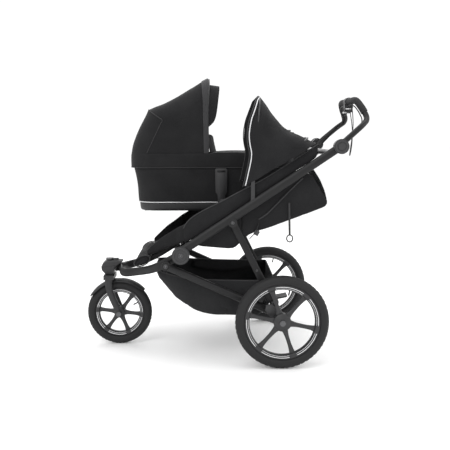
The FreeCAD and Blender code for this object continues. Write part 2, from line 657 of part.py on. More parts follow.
# ---------------------------------------------------------------- seats
def seats():
    """Two fabric seats: side panels, bottom cushions, backs, leg rests and harnesses."""
    inner, outer, thick = size("seat_inner"), size("seat_low_outer"), size("panel_thick")
    band_inner = size("seat_band_inner")
    bottom = [(-126, 524), (-30, 516), (45, 505), (76, 540), (80, 556), (40, 548), (-30, 552), (-122, 560)]
    band_low = [(x, main_line(x) + 2) for x in (-150, 405)]
    band = band_low + [(428, 900), (432, 925), (427, 945), (413, 953), (300, 884), (180, 806), (60, 742),
                       (-60, 690), (-120, 652), (-168, 612), (-172, 585)]
    low_wall = [(-126, 508), (45, 498), (72, 534), (100, 560), (200, 640), (410, 842), (380, main_line(380) - 8),
                (-140, main_line(-140) - 8)]
    short_wall = [(-126, 508), (45, 498), (72, 534), (48, 612), (20, main_line(20) - 8),
                  (-140, main_line(-140) - 8)]
    walls = []
    cushions = []
    for side, sign in SIDES:
        # under the bassinet the right seat's lower walls are pressed down and stay short
        lower = low_wall if side == "left" else short_wall
        low, high = span(sign, outer, outer + thick)
        walls.append(slab("seat_wall_low_" + side, lower, low, high))
        low, high = span(sign, band_inner, band_inner + thick)
        walls.append(slab("seat_band_" + side, band, low, high))
        low, high = span(sign, inner - thick, inner)
        walls.append(slab("seat_wall_inner_" + side, lower, low, high))
        low, high = span(sign, inner + 1, outer - 1)
        cushions.append(slab("seat_cushion_" + side, bottom, low, high))
    keep("seat_sides", group("seat_sides", walls))
    keep("seat_cushions", group("seat_cushions", cushions))
    back_left = [(96, 553), (154, 583), (208, 598), (290, 629), (432, 682), (436, 692), (429, 706),
                 (288, 658), (206, 628), (150, 612), (92, 584)]
    low, high = span(-1, inner + 3, outer - 3)
    hinge = rod("seat_back_hinge", "Sizes.pin_rad", low, high, (94, 0, 568))
    keep("seat_back_left", fuse("seat_back_left", [slab("seat_back_board", back_left, low, high), hinge]))
    back_right = [(92, 533), (154, 545), (290, 573), (440, 652), (430, 676), (286, 596), (150, 570), (92, 562)]
    low, high = span(1, inner + 3, outer - 3)
    keep("seat_back_right", slab("seat_back_right", back_right, low, high))

    head_end = [(447, 702), (424, 764), (380, 826), (374, 822), (417, 760), (440, 704)]
    low, high = span(-1, inner + 3, outer - 3)
    keep("seat_head_panel_left", slab("seat_head_panel_left", head_end, low, high))

    leg_rests = []
    for side, sign in SIDES:
        low, high = span(sign, inner + 4, 184)
        outline = [(-204, 520), (-318, 468), (-324, 462), (-316, 458), (-200, 506)]
        leg_rests.append(slab("leg_rest_" + side, outline, low, high))
    keep("leg_rests", group("leg_rests", leg_rests))

    harness = []
    for side, sign in SIDES:
        middle = sign * (inner + outer) / 2
        for n, off in enumerate((-38, 38)):
            low, high = sorted((middle + off - 12, middle + off + 12))
            strap = [(-30, 552.5), (40, 549), (66, 553.5), (66, 557), (40, 552.5), (-30, 556)]
            harness.append(slab("lap_strap_%s_%d" % (side, n), strap, low, high))
        buckle = [(-58, 554.5), (-34, 552.8), (-34, 566), (-58, 568)]
        harness.append(slab("buckle_" + side, buckle, middle - 24, middle + 24))
    keep("harness", group("harness", harness))


seats()


# ---------------------------------------------------------------- canopies and bows
def arch(pivot, turn, reach, low, high, foot, round_by):
    """Closed arch outline at a turn about a pivot line along Y: foot to reach, between two Y planes."""
    x, z = pivot
    c, s = math.cos(math.radians(turn)), math.sin(math.radians(turn))

    def at(out, y):
        return Vector(x + out * c, y, z + out * s)

    k = round_by * (1 - math.sqrt(0.5))
    points = [at(foot, low), at(reach - round_by, low), at(reach - k, low + k), at(reach, low + round_by),
              at(reach, high - round_by), at(reach - k, high - k), at(reach - round_by, high), at(foot, high)]
    edges = [Part.LineSegment(points[0], points[1]), Part.Arc(points[1], points[2], points[3]),
             Part.LineSegment(points[3], points[4]), Part.Arc(points[4], points[5], points[6]),
             Part.LineSegment(points[6], points[7])]
    return points, [e.toShape() for e in edges]


def arch_shell(name, pivot, stations, low, high, foot, round_by):
    """A cloth shell lofted between arches, open at both ends and below."""
    thick = size("cloth_thick")

    def solid(label, shrink, spread):
        wires = []
        for n, (turn, reach) in enumerate(stations):
            turn += (-spread if turn == min(s[0] for s in stations) else 0)
            turn += (spread if turn == max(s[0] for s in stations) else 0)
            start = foot - (8 if shrink else 0)
            points, edges = arch(pivot, turn, reach - shrink, low + shrink, high - shrink, start,
                                 round_by - shrink)
            edges.append(Part.LineSegment(points[7], points[0]).toShape())
            wires.append(feature("%s_%s_%d" % (name, label, n), Part.Wire(edges)))
        loft = doc.addObject("Part::Loft", "%s_%s" % (name, label))
        loft.Sections = wires
        loft.Solid = True
        loft.Ruled = True
        return loft

    return cut(name, solid("outer", 0, 0), solid("inner", thick, 3))


def bow(name, pivot, turn, reach, low, high, round_by):
    """A bent rod along an arch."""
    points, edges = arch(pivot, turn, reach, low, high, 0, round_by)
    spine = feature(name + "_path", Part.Wire(edges))
    section = doc.addObject("Part::Circle", name + "_section")
    section.setExpression("Radius", "Sizes.bow_rad")
    section.Placement = Placement(points[0], Rotation(Vector(0, 0, 1), points[1] - points[0]))
    sweep = doc.addObject("Part::Sweep", name)
    sweep.Sections = [section]
    sweep.Spine = (spine, ["Edge%d" % (n + 1) for n in range(5)])
    sweep.Solid = True
    return sweep


def canopies():
    """The left seat's part-raised canopy, the right seat's folded one and their posts."""
    pivot = (size("canopy_x"), size("canopy_z"))
    front, rear = size("canopy_front_turn"), size("canopy_rear_turn")
    far, near = size("canopy_front_reach"), size("canopy_rear_reach")
    low, high = -326, -18
    gap = 4
    stations = [(rear + gap, 276), (46, 254), (54, 248), (62, 254), (71, 272), (front - gap, far - 4)]
    keep("canopy_cloth_left", arch_shell("canopy_cloth_left", pivot, stations, low, high, 70, 96))
    for name, turn, reach in (("canopy_front_bow_left", front, far), ("canopy_rear_bow_left", rear, near)):
        inset = 12 if "rear" in name else 3
        rod_shape = bow(name + "_rod", pivot, turn, reach, low + inset, high - inset, 92)
        eyes = [rod(name + "_eye_%d" % n, "Sizes.bow_rad * 2.2", y - 2.4, y + 2.4, (pivot[0], 0, pivot[1]))
                for n, y in enumerate((low + inset, high - inset))]
        solid = fuse(name + "_whole", [rod_shape] + eyes)
        holes = rod(name + "_bore", "Sizes.peg_rad + Sizes.running_gap", low - 5, high + 5, (pivot[0], 0, pivot[1]))
        keep(name, cut(name, solid, holes))

    posts = []
    for label, (a, b), (peg_low, peg_high), lift in (
            ("left", (-338, -330), (-341, -310), -12), ("middle", (-4, 4), (-34, 14), 13),
            ("right", (320, 328), (312, 330), 23)):
        foot = main_line(pivot[0]) + lift
        post = [(pivot[0] - 9, foot - 6), (pivot[0] + 9, foot + 6), (pivot[0] + 9, pivot[1] + 9),
                (pivot[0] - 9, pivot[1] + 9)]
        plate = slab("canopy_plate_" + label, post, a, b)
        peg = rod("canopy_peg_" + label, "Sizes.peg_rad", peg_low, peg_high, (pivot[0], 0, pivot[1]))
        posts.append(fuse("canopy_post_" + label, [plate, peg]))
    keep("canopy_posts", group("canopy_posts", posts))

    folded = arch_shell("canopy_folded_right", pivot, [(31, near), (41, near - 6)], 14, 318, 26, 90)
    keep("canopy_folded_right", folded)


canopies()


# ---------------------------------------------------------------- bassinet
def rounded_box(name, low, high, radius, shrink=0.0):
    """Upright box with round vertical corners."""
    obj = block(name + "_block", [low[0] + shrink, low[1] + shrink, low[2]],
                [high[0] - shrink, high[1] - shrink, high[2]])
    doc.recompute()
    upright = [n + 1 for n, e in enumerate(obj.Shape.Edges)
               if abs(e.Vertexes[0].Z - e.Vertexes[1].Z) > 1]
    fillet = doc.addObject("Part::Fillet", name)
    fillet.Base = obj
    fillet.Edges = [(n, radius - shrink, radius - shrink) for n in upright]
    return fillet


def bassinet():
    """Carrycot: tray, fabric tub, rail, mattress, apron, hood and its clip-on posts."""
    front, back = size("bassinet_front"), size("bassinet_back")
    side, wide, corner = size("bassinet_side"), size("bassinet_wide"), size("bassinet_round")
    tray_low, tray_high = size("tray_low"), size("tray_high")
    rail_low, rail_high = size("rail_low"), size("rail_high")

    ends = size("tub_end_inset")

    def shell(name, inset, end, low, high, wall):
        x0, x1 = front + inset + end, back - inset - end
        y0, y1 = side + inset, side + wide - inset
        outer = rounded_box(name + "_outer", (x0, y0, low), (x1, y1, high), corner)
        inner = rounded_box(name + "_inner", (x0, y0, low - 5), (x1, y1, high + 5), corner, wall)
        return cut(name, outer, inner)

    inset = size("tray_inset")
    keep("bassinet_tray",
         rounded_box("bassinet_tray", (front + inset + ends, side + inset, tray_low),
                     (back - inset - ends, side + wide - inset, tray_high), corner))
    keep("bassinet_tub", shell("bassinet_tub", size("tub_inset"), ends, tray_high, rail_low, 6))
    keep("bassinet_mattress",
         rounded_box("bassinet_mattress", (front + 14 + ends, side + 14, tray_high),
                     (back - 14 - ends, side + wide - 14, tray_high + 40), corner - 10))
    cover = rounded_box("apron_sheet", (-20, side + 1, rail_high), (back - 1, side + wide - 1, rail_high + 5), 60)
    flap = block("apron_flap", (-44, side + 6, rail_high + 1), (-38, side + wide - 6, rail_high + 92))
    edge = block("apron_edge", (-44, side + 6, rail_high), (40, side + wide - 6, rail_high + 4))
    keep("bassinet_apron", fuse("bassinet_apron", [cover, flap, edge]))

    pivot = (size("hood_x"), size("hood_z"))
    turn_front, turn_rear = size("hood_front_turn"), size("hood_rear_turn")
    far, near = size("hood_front_reach"), size("hood_rear_reach")
    low, high = side + 4, side + wide - 4
    stations = [(turn_front + 4, far - 4), (104, 308), (118, 294), (131, 302), (turn_rear - 4, near - 4)]
    keep("hood_cloth", arch_shell("hood_cloth", pivot, stations, low, high, 70, 90))
    rear_stations = [(turn_rear + 2, near), (162, 340), (176, 352)]
    keep("hood_end_cloth", arch_shell("hood_end_cloth", pivot, rear_stations, low, high, 24, 90))
    for name, turn, reach, inset, corner_by in (("hood_rear_bow", turn_rear, near - 4, 13, 76),
                                                ("hood_front_bow", turn_front, far, 4, 86)):
        feet = (low + inset, high - inset)
        eyes = [rod("%s_eye_%d" % (name, n), "Sizes.hood_peg_rad * 2", y - 2.4, y + 2.4, (pivot[0], 0, pivot[1]))
                for n, y in enumerate(feet)]
        whole = fuse(name + "_whole", [bow(name + "_rod", pivot, turn, reach, *feet, corner_by)] + eyes)
        bore = rod(name + "_bore", "Sizes.hood_peg_rad + Sizes.running_gap", low - 5, high + 5,
                   (pivot[0], 0, pivot[1]))
        keep(name, cut(name, whole, bore))
    visor_stations = [(turn_front - 2.5, far - 4), (turn_front - 12, far - 8)]
    keep("hood_visor", arch_shell("hood_visor", pivot, visor_stations, low, high, 160, 90))

    # clip-on posts: one on the middle rail, one on the right main tube
    x = -3
    posts = []
    for label, (a, b), lift in (("middle", (3, 15), 13), ("right", (305.5, 317), 23)):
        foot = main_line(x) + lift
        outline = [(x - 17, foot - 11), (x + 17, foot + 11), (x + 17, 700), (x + 28, 712), (x + 28, 824),
                   (x + 20, 833), (x - 22, 833), (x - 30, 824), (x - 30, 712), (x - 17, 700)]
        posts.append(slab("adapter_plate_" + label, outline, a, b))
    keep("adapter_posts", group("adapter_posts", posts))
    lugs = []
    for label, (a, b) in (("middle", (3, side + 0.5)), ("right", (side + wide - 0.5, 317))):
        lugs.append(block("bassinet_lug_" + label, (x - 24, a, rail_low), (x + 22, b, rail_low + 22)))
    pegs = []
    for label, (a, b), (peg_low, peg_high) in (
            ("middle", (side - 0.5, side + 3), (side, side + 20)),
            ("right", (side + wide - 3, side + wide + 0.5), (side + wide - 20, side + wide))):
        plate = [(pivot[0] - 9, rail_high - 8), (pivot[0] + 9, rail_high - 8), (pivot[0] + 9, pivot[1] + 8),
                 (pivot[0] - 9, pivot[1] + 8)]
        pegs.append(slab("hood_plate_" + label, plate, a, b))
        pegs.append(rod("hood_peg_" + label, "Sizes.hood_peg_rad", peg_low, peg_high, (pivot[0], 0, pivot[1])))
    rail = shell("bassinet_rail_band", 0, 0, rail_low, rail_high, 12)
    keep("bassinet_rail", fuse("bassinet_rail", [rail] + lugs + pegs))


bassinet()


# ---------------------------------------------------------------- basket
def basket():
    """Cloth storage basket hung between the lower stays."""
    half, wall = size("basket_half"), size("wall")
    outer = [(-214, 352), (-208, 272), (-119, 210), (-46, 191), (65, 184), (157, 186), (222, 248), (212, 352)]
    inner = [(-210, 360), (-204, 275), (-117, 214), (-45, 195), (65, 188), (155, 190), (218, 249), (208, 360)]
    bag = slab("basket_outer", outer, -half, half)
    hollow = slab("basket_inner", inner, -half + wall, half - wall)
    keep("basket", cut("basket", bag, hollow))
    nose_outer = [(-216, 352), (-210, 274), (-260, 315), (-300, 372), (-296, 384)]
    keep("basket_nose", slab("basket_nose", nose_outer, -150, 150))


basket()


# ---------------------------------------------------------------- cords
def cords():
    """The wrist strap on the handlebar and the recline pull under the left seat back."""
    loop = [(591, -32, 1128.2), (594, -34, 1090), (604, -36, 1030), (604, -42, 968), (598, -48, 920),
            (590, -56, 893), (586, -68, 898), (590, -78, 945), (598, -80, 1005), (599, -76, 1068),
            (592, -74, 1128.2)]
    keep("wrist_strap", pipe("wrist_strap", loop, "Sizes.strap_rad", 400))
    pull = [(282, -293.5, 700), (283, -294, 620), (285, -293, 562)]
    keep("recline_pull", pipe("recline_pull", pull, "Sizes.pull_rad", 400))


cords()


# ---------------------------------------------------------------- check and write
doc.recompute()
problems = [obj.Name for obj in doc.Objects if {"Invalid", "Error"} & set(obj.State)]
for name, obj in PIECES.items():
    if obj.Shape.isNull() or not obj.Shape.isValid() or not obj.Shape.Solids:
        problems.append(name + " has no valid solid")
if problems:
    raise SystemExit("not written: " + ", ".join(problems))

os.makedirs("parts", exist_ok=True)
for name, obj in PIECES.items():
    obj.Shape.exportStep(os.path.join("parts", name + ".step"))
    box = obj.Shape.BoundBox
    print("%-24s solids %d  x %.0f..%.0f  y %.0f..%.0f  z %.0f..%.0f  %.0f cm3" % (
        name, len(obj.Shape.Solids), box.XMin, box.XMax, box.YMin, box.YMax, box.ZMin, box.ZMax,
        obj.Shape.Volume / 1000))
print(len(PIECES), "sub-parts")
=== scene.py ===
"""Side-by-side double jogging stroller: materials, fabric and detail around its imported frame.

Metres, in the frame's own axes: the stroller faces -X, its left side is -Y, +Z is up.
Outlines are written in millimetres and pass through mm().
"""
import json
import math
import random

import bmesh
import bpy
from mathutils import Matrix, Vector, noise


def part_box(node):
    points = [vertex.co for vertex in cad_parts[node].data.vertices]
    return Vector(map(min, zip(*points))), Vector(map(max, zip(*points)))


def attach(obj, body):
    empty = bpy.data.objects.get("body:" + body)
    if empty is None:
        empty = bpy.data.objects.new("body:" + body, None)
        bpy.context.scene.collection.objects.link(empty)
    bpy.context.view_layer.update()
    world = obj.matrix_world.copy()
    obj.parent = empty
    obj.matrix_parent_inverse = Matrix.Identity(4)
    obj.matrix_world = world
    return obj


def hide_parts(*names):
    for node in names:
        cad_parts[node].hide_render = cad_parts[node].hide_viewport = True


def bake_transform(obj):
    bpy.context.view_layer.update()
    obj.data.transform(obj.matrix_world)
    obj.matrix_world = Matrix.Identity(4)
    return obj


bl_info = {
    "name": "Double jogging stroller",
    "version": (1, 0, 0),
    "blender": (4, 5, 0),
    "location": "View3D > Sidebar > Stroller",
    "description": "Builds a side-by-side jogging stroller around its frame",
    "category": "Add Mesh",
}

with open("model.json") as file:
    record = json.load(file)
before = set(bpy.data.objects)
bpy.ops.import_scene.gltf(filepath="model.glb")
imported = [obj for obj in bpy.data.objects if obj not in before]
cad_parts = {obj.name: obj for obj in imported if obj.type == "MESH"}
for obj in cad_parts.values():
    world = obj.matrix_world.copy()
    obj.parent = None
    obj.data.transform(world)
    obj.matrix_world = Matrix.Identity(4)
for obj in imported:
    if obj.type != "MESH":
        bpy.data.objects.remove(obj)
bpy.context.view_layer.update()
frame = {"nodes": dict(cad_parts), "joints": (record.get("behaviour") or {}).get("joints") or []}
JOINTS = {joint["name"]: joint for joint in frame["joints"]}
SIDES = (("left", -1), ("right", 1))


def mm(x, y, z):
    """A point given in millimetres."""
    return Vector((x, y, z)) * 0.001


def pivot(name):
    """A joint's place at rest, in millimetres."""
    return Vector(JOINTS[name]["pos_m"]) * 1000


def main_height(x):
    """Height of the main tube's centre line at x, in millimetres."""
    fold, hub = pivot("fold"), pivot("handlebar_tilt")
    low = fold.z + 14
    return low + (hub.z - low) * (x - fold.x) / (hub.x - fold.x)


def middle(node):
    """The middle of a node's box, in millimetres."""
    low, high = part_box(node)
    return (Vector(low) + Vector(high)) * 500


# ---------------------------------------------------------------- settings
class StrollerSettings(bpy.types.PropertyGroup):
    """Sizes and colours that a user would change."""

    cloth_thickness: bpy.props.FloatProperty(
        name="Cloth thickness", description="Canopy and bassinet cloth", default=0.0014, unit="LENGTH")
    piping_radius: bpy.props.FloatProperty(
        name="Piping radius", description="Corded edge on the fabric", default=0.0024, unit="LENGTH")
    wrinkle_depth: bpy.props.FloatProperty(
        name="Wrinkle depth", description="How far slack cloth waves", default=0.0035, unit="LENGTH")
    tread_depth: bpy.props.FloatProperty(
        name="Tread depth", description="Depth of the tyre's tread cuts", default=0.0018, unit="LENGTH")
    fabric_colour: bpy.props.FloatVectorProperty(
        name="Fabric", description="Main fabric", subtype="COLOR", size=4,
        default=(0.0075, 0.0075, 0.0082, 1))
    bassinet_colour: bpy.props.FloatVectorProperty(
        name="Bassinet", description="Bassinet fabric", subtype="COLOR", size=4,
        default=(0.0085, 0.0085, 0.0092, 1))
    basket_colour: bpy.props.FloatVectorProperty(
        name="Basket", description="Basket fabric", subtype="COLOR", size=4,
        default=(0.0125, 0.0127, 0.0135, 1))
    frame_colour: bpy.props.FloatVectorProperty(
        name="Frame", description="Anodised tube", subtype="COLOR", size=4,
        default=(0.0115, 0.0115, 0.012, 1))
    piping_colour: bpy.props.FloatVectorProperty(
        name="Piping", description="Reflective piping", subtype="COLOR", size=4,
        default=(0.6, 0.6, 0.61, 1))


def settings():
    """The stroller's own sizes and colours."""
    return bpy.context.scene.stroller


# ---------------------------------------------------------------- mesh helpers
def piece(name, verts, faces, smooth=True):
    """A mesh object from points in millimetres."""
    mesh = bpy.data.meshes.new(name)
    mesh.from_pydata([Vector(v) * 0.001 for v in verts], [], faces)
    mesh.validate()
    obj = bpy.data.objects.new(name, mesh)
    bpy.context.collection.objects.link(obj)
    tidy = bmesh.new()
    tidy.from_mesh(mesh)
    bmesh.ops.remove_doubles(tidy, verts=tidy.verts, dist=1e-6)
    bmesh.ops.recalc_face_normals(tidy, faces=tidy.faces)
    tidy.to_mesh(mesh)
    tidy.free()
    for polygon in mesh.polygons:
        polygon.use_smooth = smooth
    return obj


def grid(name, rows, ring=False, ends=False, round_trip=False):
    """A surface through rows of points.

    ring closes each row, ends caps the first and last, and round_trip joins the last row to the first.
    """
    count = len(rows[0])
    verts = [p for row in rows for p in row]
    faces = []
    last = len(rows) if round_trip else len(rows) - 1
    for a in range(last):
        b = (a + 1) % len(rows)
        for c in range(count if ring else count - 1):
            d = (c + 1) % count
            faces.append((a * count + c, a * count + d, b * count + d, b * count + c))
    if ends:
        faces.append(tuple(range(count))[::-1])
        faces.append(tuple((len(rows) - 1) * count + c for c in range(count)))
    return piece(name, verts, faces)


def apply(obj):
    """Makes the modifiers' result the object's own mesh."""
    graph = bpy.context.evaluated_depsgraph_get()
    graph.update()
    mesh = bpy.data.meshes.new_from_object(obj.evaluated_get(graph))
    obj.modifiers.clear()
    obj.data = mesh
    for polygon in mesh.polygons:
        polygon.use_smooth = True
    return obj


def thicken(obj, thickness, offset=0.0):
    """Gives a surface thickness in metres, to both sides or by offset to one."""
    modifier = obj.modifiers.new("thickness", "SOLIDIFY")
    modifier.thickness = thickness
    modifier.offset = offset
    return obj


def soften(obj, levels=1):
    """Rounds a mesh by subdivision."""
    modifier = obj.modifiers.new("soften", "SUBSURF")
    modifier.levels = modifier.render_levels = levels
    return obj


def bevel(obj, width, segments=2):
    """Rounds the sharp edges; width in metres."""
    modifier = obj.modifiers.new("bevel", "BEVEL")
    modifier.width = width
    modifier.segments = segments
    modifier.limit_method = "ANGLE"
    modifier.angle_limit = math.radians(35)
    return obj


def line(points, steps):
    """A smooth line through points."""
    points = [Vector(p) for p in points]
    out = []
    for n in range(len(points) - 1):
        a = points[max(n - 1, 0)]
        b, c = points[n], points[n + 1]
        d = points[min(n + 2, len(points) - 1)]
        for k in range(steps):
            t = k / steps
            out.append(0.5 * (2 * b + (c - a) * t + (2 * a - 5 * b + 4 * c - d) * t * t
                              + (3 * b - a - 3 * c + d) * t * t * t))
    out.append(points[-1])
    return out


def spread(points, count):
    """Points evenly spaced along a line."""
    points = [Vector(p) for p in points]
    runs = [0.0]
    for a, b in zip(points, points[1:]):
        runs.append(runs[-1] + (b - a).length)
    out = []
    n = 0
    for k in range(count):
        want = runs[-1] * k / (count - 1)
        while n < len(points) - 2 and runs[n + 1] < want:
            n += 1
        step = runs[n + 1] - runs[n]
        out.append(points[n].lerp(points[n + 1], (want - runs[n]) / step if step else 0))
    return out


def tube(name, points, radius, sides=12, closed=False, flat=1.0):
    """A round or flattened tube along points; radius in millimetres, or one for each point."""
    points = [Vector(p) for p in points]
    total = len(points)
    radii = radius if isinstance(radius, (list, tuple)) else [radius] * total
    rows = []
    across = None
    for n, point in enumerate(points):
        before = points[(n - 1) % total] if closed or n else points[n]
        after = points[(n + 1) % total] if closed or n < total - 1 else points[n]
        along = (after - before).normalized()
        if across is None:
            across = along.orthogonal().normalized() if abs(along.y) > 0.9 else Vector((0, 1, 0))
        across = (across - along * across.dot(along)).normalized()
        up = along.cross(across)
        rows.append([point + across * (radii[n] * math.cos(t)) + up * (radii[n] * flat * math.sin(t))
                     for t in (math.tau * k / sides for k in range(sides))])
    return grid(name, rows, ring=True, ends=not closed, round_trip=closed)


def turned(name, centre, profile, steps=96, shape=None):
    """A closed profile of (radius, along Y) turned round the Y line through centre.

    shape(step, radius, along) may give a point another radius.
    """
    rows = []
    for n in range(steps):
        angle = math.tau * n / steps
        row = []
        for r, y in profile:
            if shape:
                r = shape(n, r, y)
            row.append((centre.x + r * math.cos(angle), centre.y + y, centre.z + r * math.sin(angle)))
        rows.append(row)
    return grid(name, rows, ring=True, round_trip=True)


def wave(obj, depth, scale, seed, along=None):
    """Moves a mesh along its normals, or one way, by smooth noise; depth in metres."""
    shift = Vector((seed * 7.3, seed * 3.1, seed * 5.7))
    normals = [v.normal.copy() for v in obj.data.vertices]
    for vertex, normal in zip(obj.data.vertices, normals):
        value = noise.noise(vertex.co * scale + shift)
        vertex.co += (Vector(along) if along else normal) * (value * depth)
    return obj


def cloth(name, rows, thickness, *waves, offset=0.0, **closing):
    """Cloth through rows of points; each wave is (depth, scale, seed) and at times a direction."""
    obj = grid(name, rows, **closing)
    thicken(obj, thickness, offset)
    soften(obj)
    apply(obj)
    for each in waves:
        wave(obj, *each)
    return obj


def cord_curve(name, points, radius):
    """A smooth round cord through points in millimetres; radius in metres."""
    curve = bpy.data.curves.new(name, "CURVE")
    curve.dimensions = "3D"
    spline = curve.splines.new("NURBS")
    spline.points.add(len(points) - 1)
    for point, place in zip(spline.points, points):
        point.co = (*mm(*place), 1)
    spline.order_u = 3
    spline.use_endpoint_u = True
    curve.bevel_depth = radius
    curve.bevel_resolution = 4
    cord = bpy.data.objects.new(name, curve)
    bpy.context.collection.objects.link(cord)
    return cord


def outline_pad(name, outline, low, high, shrink, voxel, pressure, cap):
    """A stuffed pad from a side outline, swollen and rounded."""
    pad = stuff(slab_mesh(name, outline, low, high, shrink), voxel, pressure, cap)
    soften(pad)
    return apply(pad)


def slab_mesh(name, outline, low, high, shrink=0.0):
    """A side outline in XZ carried from Y low to Y high, pulled in by shrink."""
    centre = sum((Vector((x, 0, z)) for x, z in outline), Vector()) / len(outline)
    rows = []
    for y in (low + shrink, high - shrink):
        row = []
        for x, z in outline:
            point = Vector((x, 0, z))
            inward = (centre - point).normalized() * shrink
            row.append((x + inward.x, y, z + inward.z))
        rows.append(row)
    return grid(name, rows, ring=True, ends=True)


def stuff(obj, voxel=0.006, pressure=4.0, cap=0.008, steps=18):
    """Swells a closed mesh with cloth pressure, holding each point within cap, and rounds it."""
    remesh = obj.modifiers.new("remesh", "REMESH")
    remesh.mode = "VOXEL"
    remesh.voxel_size = voxel
    apply(obj)
    start = [v.co.copy() for v in obj.data.vertices]
    scene = bpy.context.scene
    fabric = obj.modifiers.new("cloth", "CLOTH")
    fabric.settings.quality = 4
    fabric.settings.use_pressure = True
    fabric.settings.uniform_pressure_force = pressure
    fabric.settings.effector_weights.gravity = 0
    fabric.settings.tension_stiffness = 12
    fabric.settings.bending_stiffness = 0.4
    fabric.point_cache.frame_start = 1
    fabric.point_cache.frame_end = steps
    for number in range(1, steps + 1):
        scene.frame_set(number)
    apply(obj)
    scene.frame_set(1)
    for vertex, first in zip(obj.data.vertices, start):
        move = vertex.co - first
        if move.length > cap:
            vertex.co = first + move * (cap / move.length)
    smooth = obj.modifiers.new("smooth", "SMOOTH")
    smooth.factor = 0.5
    smooth.iterations = 4
    apply(obj)
    return obj


def finish_piece(obj, material, body, slot, *nodes):
    """Gives a piece its finish and its body, and hides the nodes it stands for."""
    obj.data.materials.clear()
    obj.data.materials.append(MATERIALS[material])
    if body:
        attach(obj, body)
    if nodes:
        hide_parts(*nodes)
    return obj


# ---------------------------------------------------------------- materials
MATERIALS = {}


def new_group(name, inputs, outputs):
    """An empty shader group with float inputs and outputs; returns it with its in and out nodes."""
    group = bpy.data.node_groups.new(name, "ShaderNodeTree")
    for label, value in inputs:
        socket = group.interface.new_socket(label, in_out="INPUT", socket_type="NodeSocketFloat")
        socket.default_value = value
    for label in outputs:
        group.interface.new_socket(label, in_out="OUTPUT", socket_type="NodeSocketFloat")
    return group, group.nodes.new("NodeGroupInput"), group.nodes.new("NodeGroupOutput")


def math_node(group, operation, a, b=None):
    """A maths node fed by sockets or numbers."""
    node = group.nodes.new("ShaderNodeMath")
    node.operation = operation
    for socket, value in zip(node.inputs, (a, b)):
        if value is None:
            continue
        if isinstance(value, (int, float)):
            socket.default_value = value
        else:
            group.links.new(value, socket)
    return node.outputs[0]


def make_weave_group():
    """Crossed threads: a height and a thread-to-thread shade, sized in threads per metre."""
    group, entry, leave = new_group("Weave", (("Threads", 900.0), ("Slub", 0.3)), ("Height", "Shade"))
    place = group.nodes.new("ShaderNodeTexCoord").outputs["Object"]
    parts = group.nodes.new("ShaderNodeSeparateXYZ")
    group.links.new(place, parts.inputs[0])
    heights = []
    for a, b in (("X", "Y"), ("Z", "Y")):
        mix = math_node(group, "ADD", parts.outputs[a], math_node(group, "MULTIPLY", parts.outputs[b],
                                                                 1.0 if a == "X" else -1.0))
        turn = math_node(group, "MULTIPLY", mix, entry.outputs["Threads"])
        heights.append(math_node(group, "SINE", turn))
    cross = math_node(group, "MULTIPLY", heights[0], heights[1])
    slub = group.nodes.new("ShaderNodeTexNoise")
    slub.inputs["Scale"].default_value = 420
    slub.inputs["Detail"].default_value = 3
    group.links.new(place, slub.inputs["Vector"])
    rough = math_node(group, "MULTIPLY", slub.outputs[0], entry.outputs["Slub"])
    group.links.new(math_node(group, "ADD", cross, rough), leave.inputs["Height"])
    group.links.new(slub.outputs[0], leave.inputs["Shade"])
    return group


def make_dust_and_edge_highlight_group():
    """A painted highlight on sharp edges and settled dust, as masks."""
    group, entry, leave = new_group("DustAndEdgeHighlight", (("Edge", 1.0), ("Dust scale", 14.0)), ("Edge", "Dust"))
    # the edge mask is a painted highlight: sharp outward edges get a lighter colour
    geometry = group.nodes.new("ShaderNodeNewGeometry")
    sharp = math_node(group, "SUBTRACT", geometry.outputs["Pointiness"], 0.5)
    gain = math_node(group, "MULTIPLY", sharp, 9.0)
    edge = math_node(group, "MULTIPLY", gain, entry.outputs["Edge"])
    clamp = group.nodes.new("ShaderNodeClamp")
    group.links.new(edge, clamp.inputs[0])
    group.links.new(clamp.outputs[0], leave.inputs["Edge"])
    dust = group.nodes.new("ShaderNodeTexNoise")
    dust.inputs["Detail"].default_value = 6
    group.links.new(group.nodes.new("ShaderNodeTexCoord").outputs["Object"], dust.inputs["Vector"])
    group.links.new(entry.outputs["Dust scale"], dust.inputs["Scale"])
    group.links.new(dust.outputs[0], leave.inputs["Dust"])
    return group


def make_grain_group():
    """Fine moulded grain as a height."""
    group, entry, leave = new_group("Grain", (("Grain scale", 900.0),), ("Height",))
    cells = group.nodes.new("ShaderNodeTexVoronoi")
    group.links.new(group.nodes.new("ShaderNodeTexCoord").outputs["Object"], cells.inputs["Vector"])
    group.links.new(entry.outputs["Grain scale"], cells.inputs["Scale"])
    group.links.new(cells.outputs["Distance"], leave.inputs["Height"])
    return group


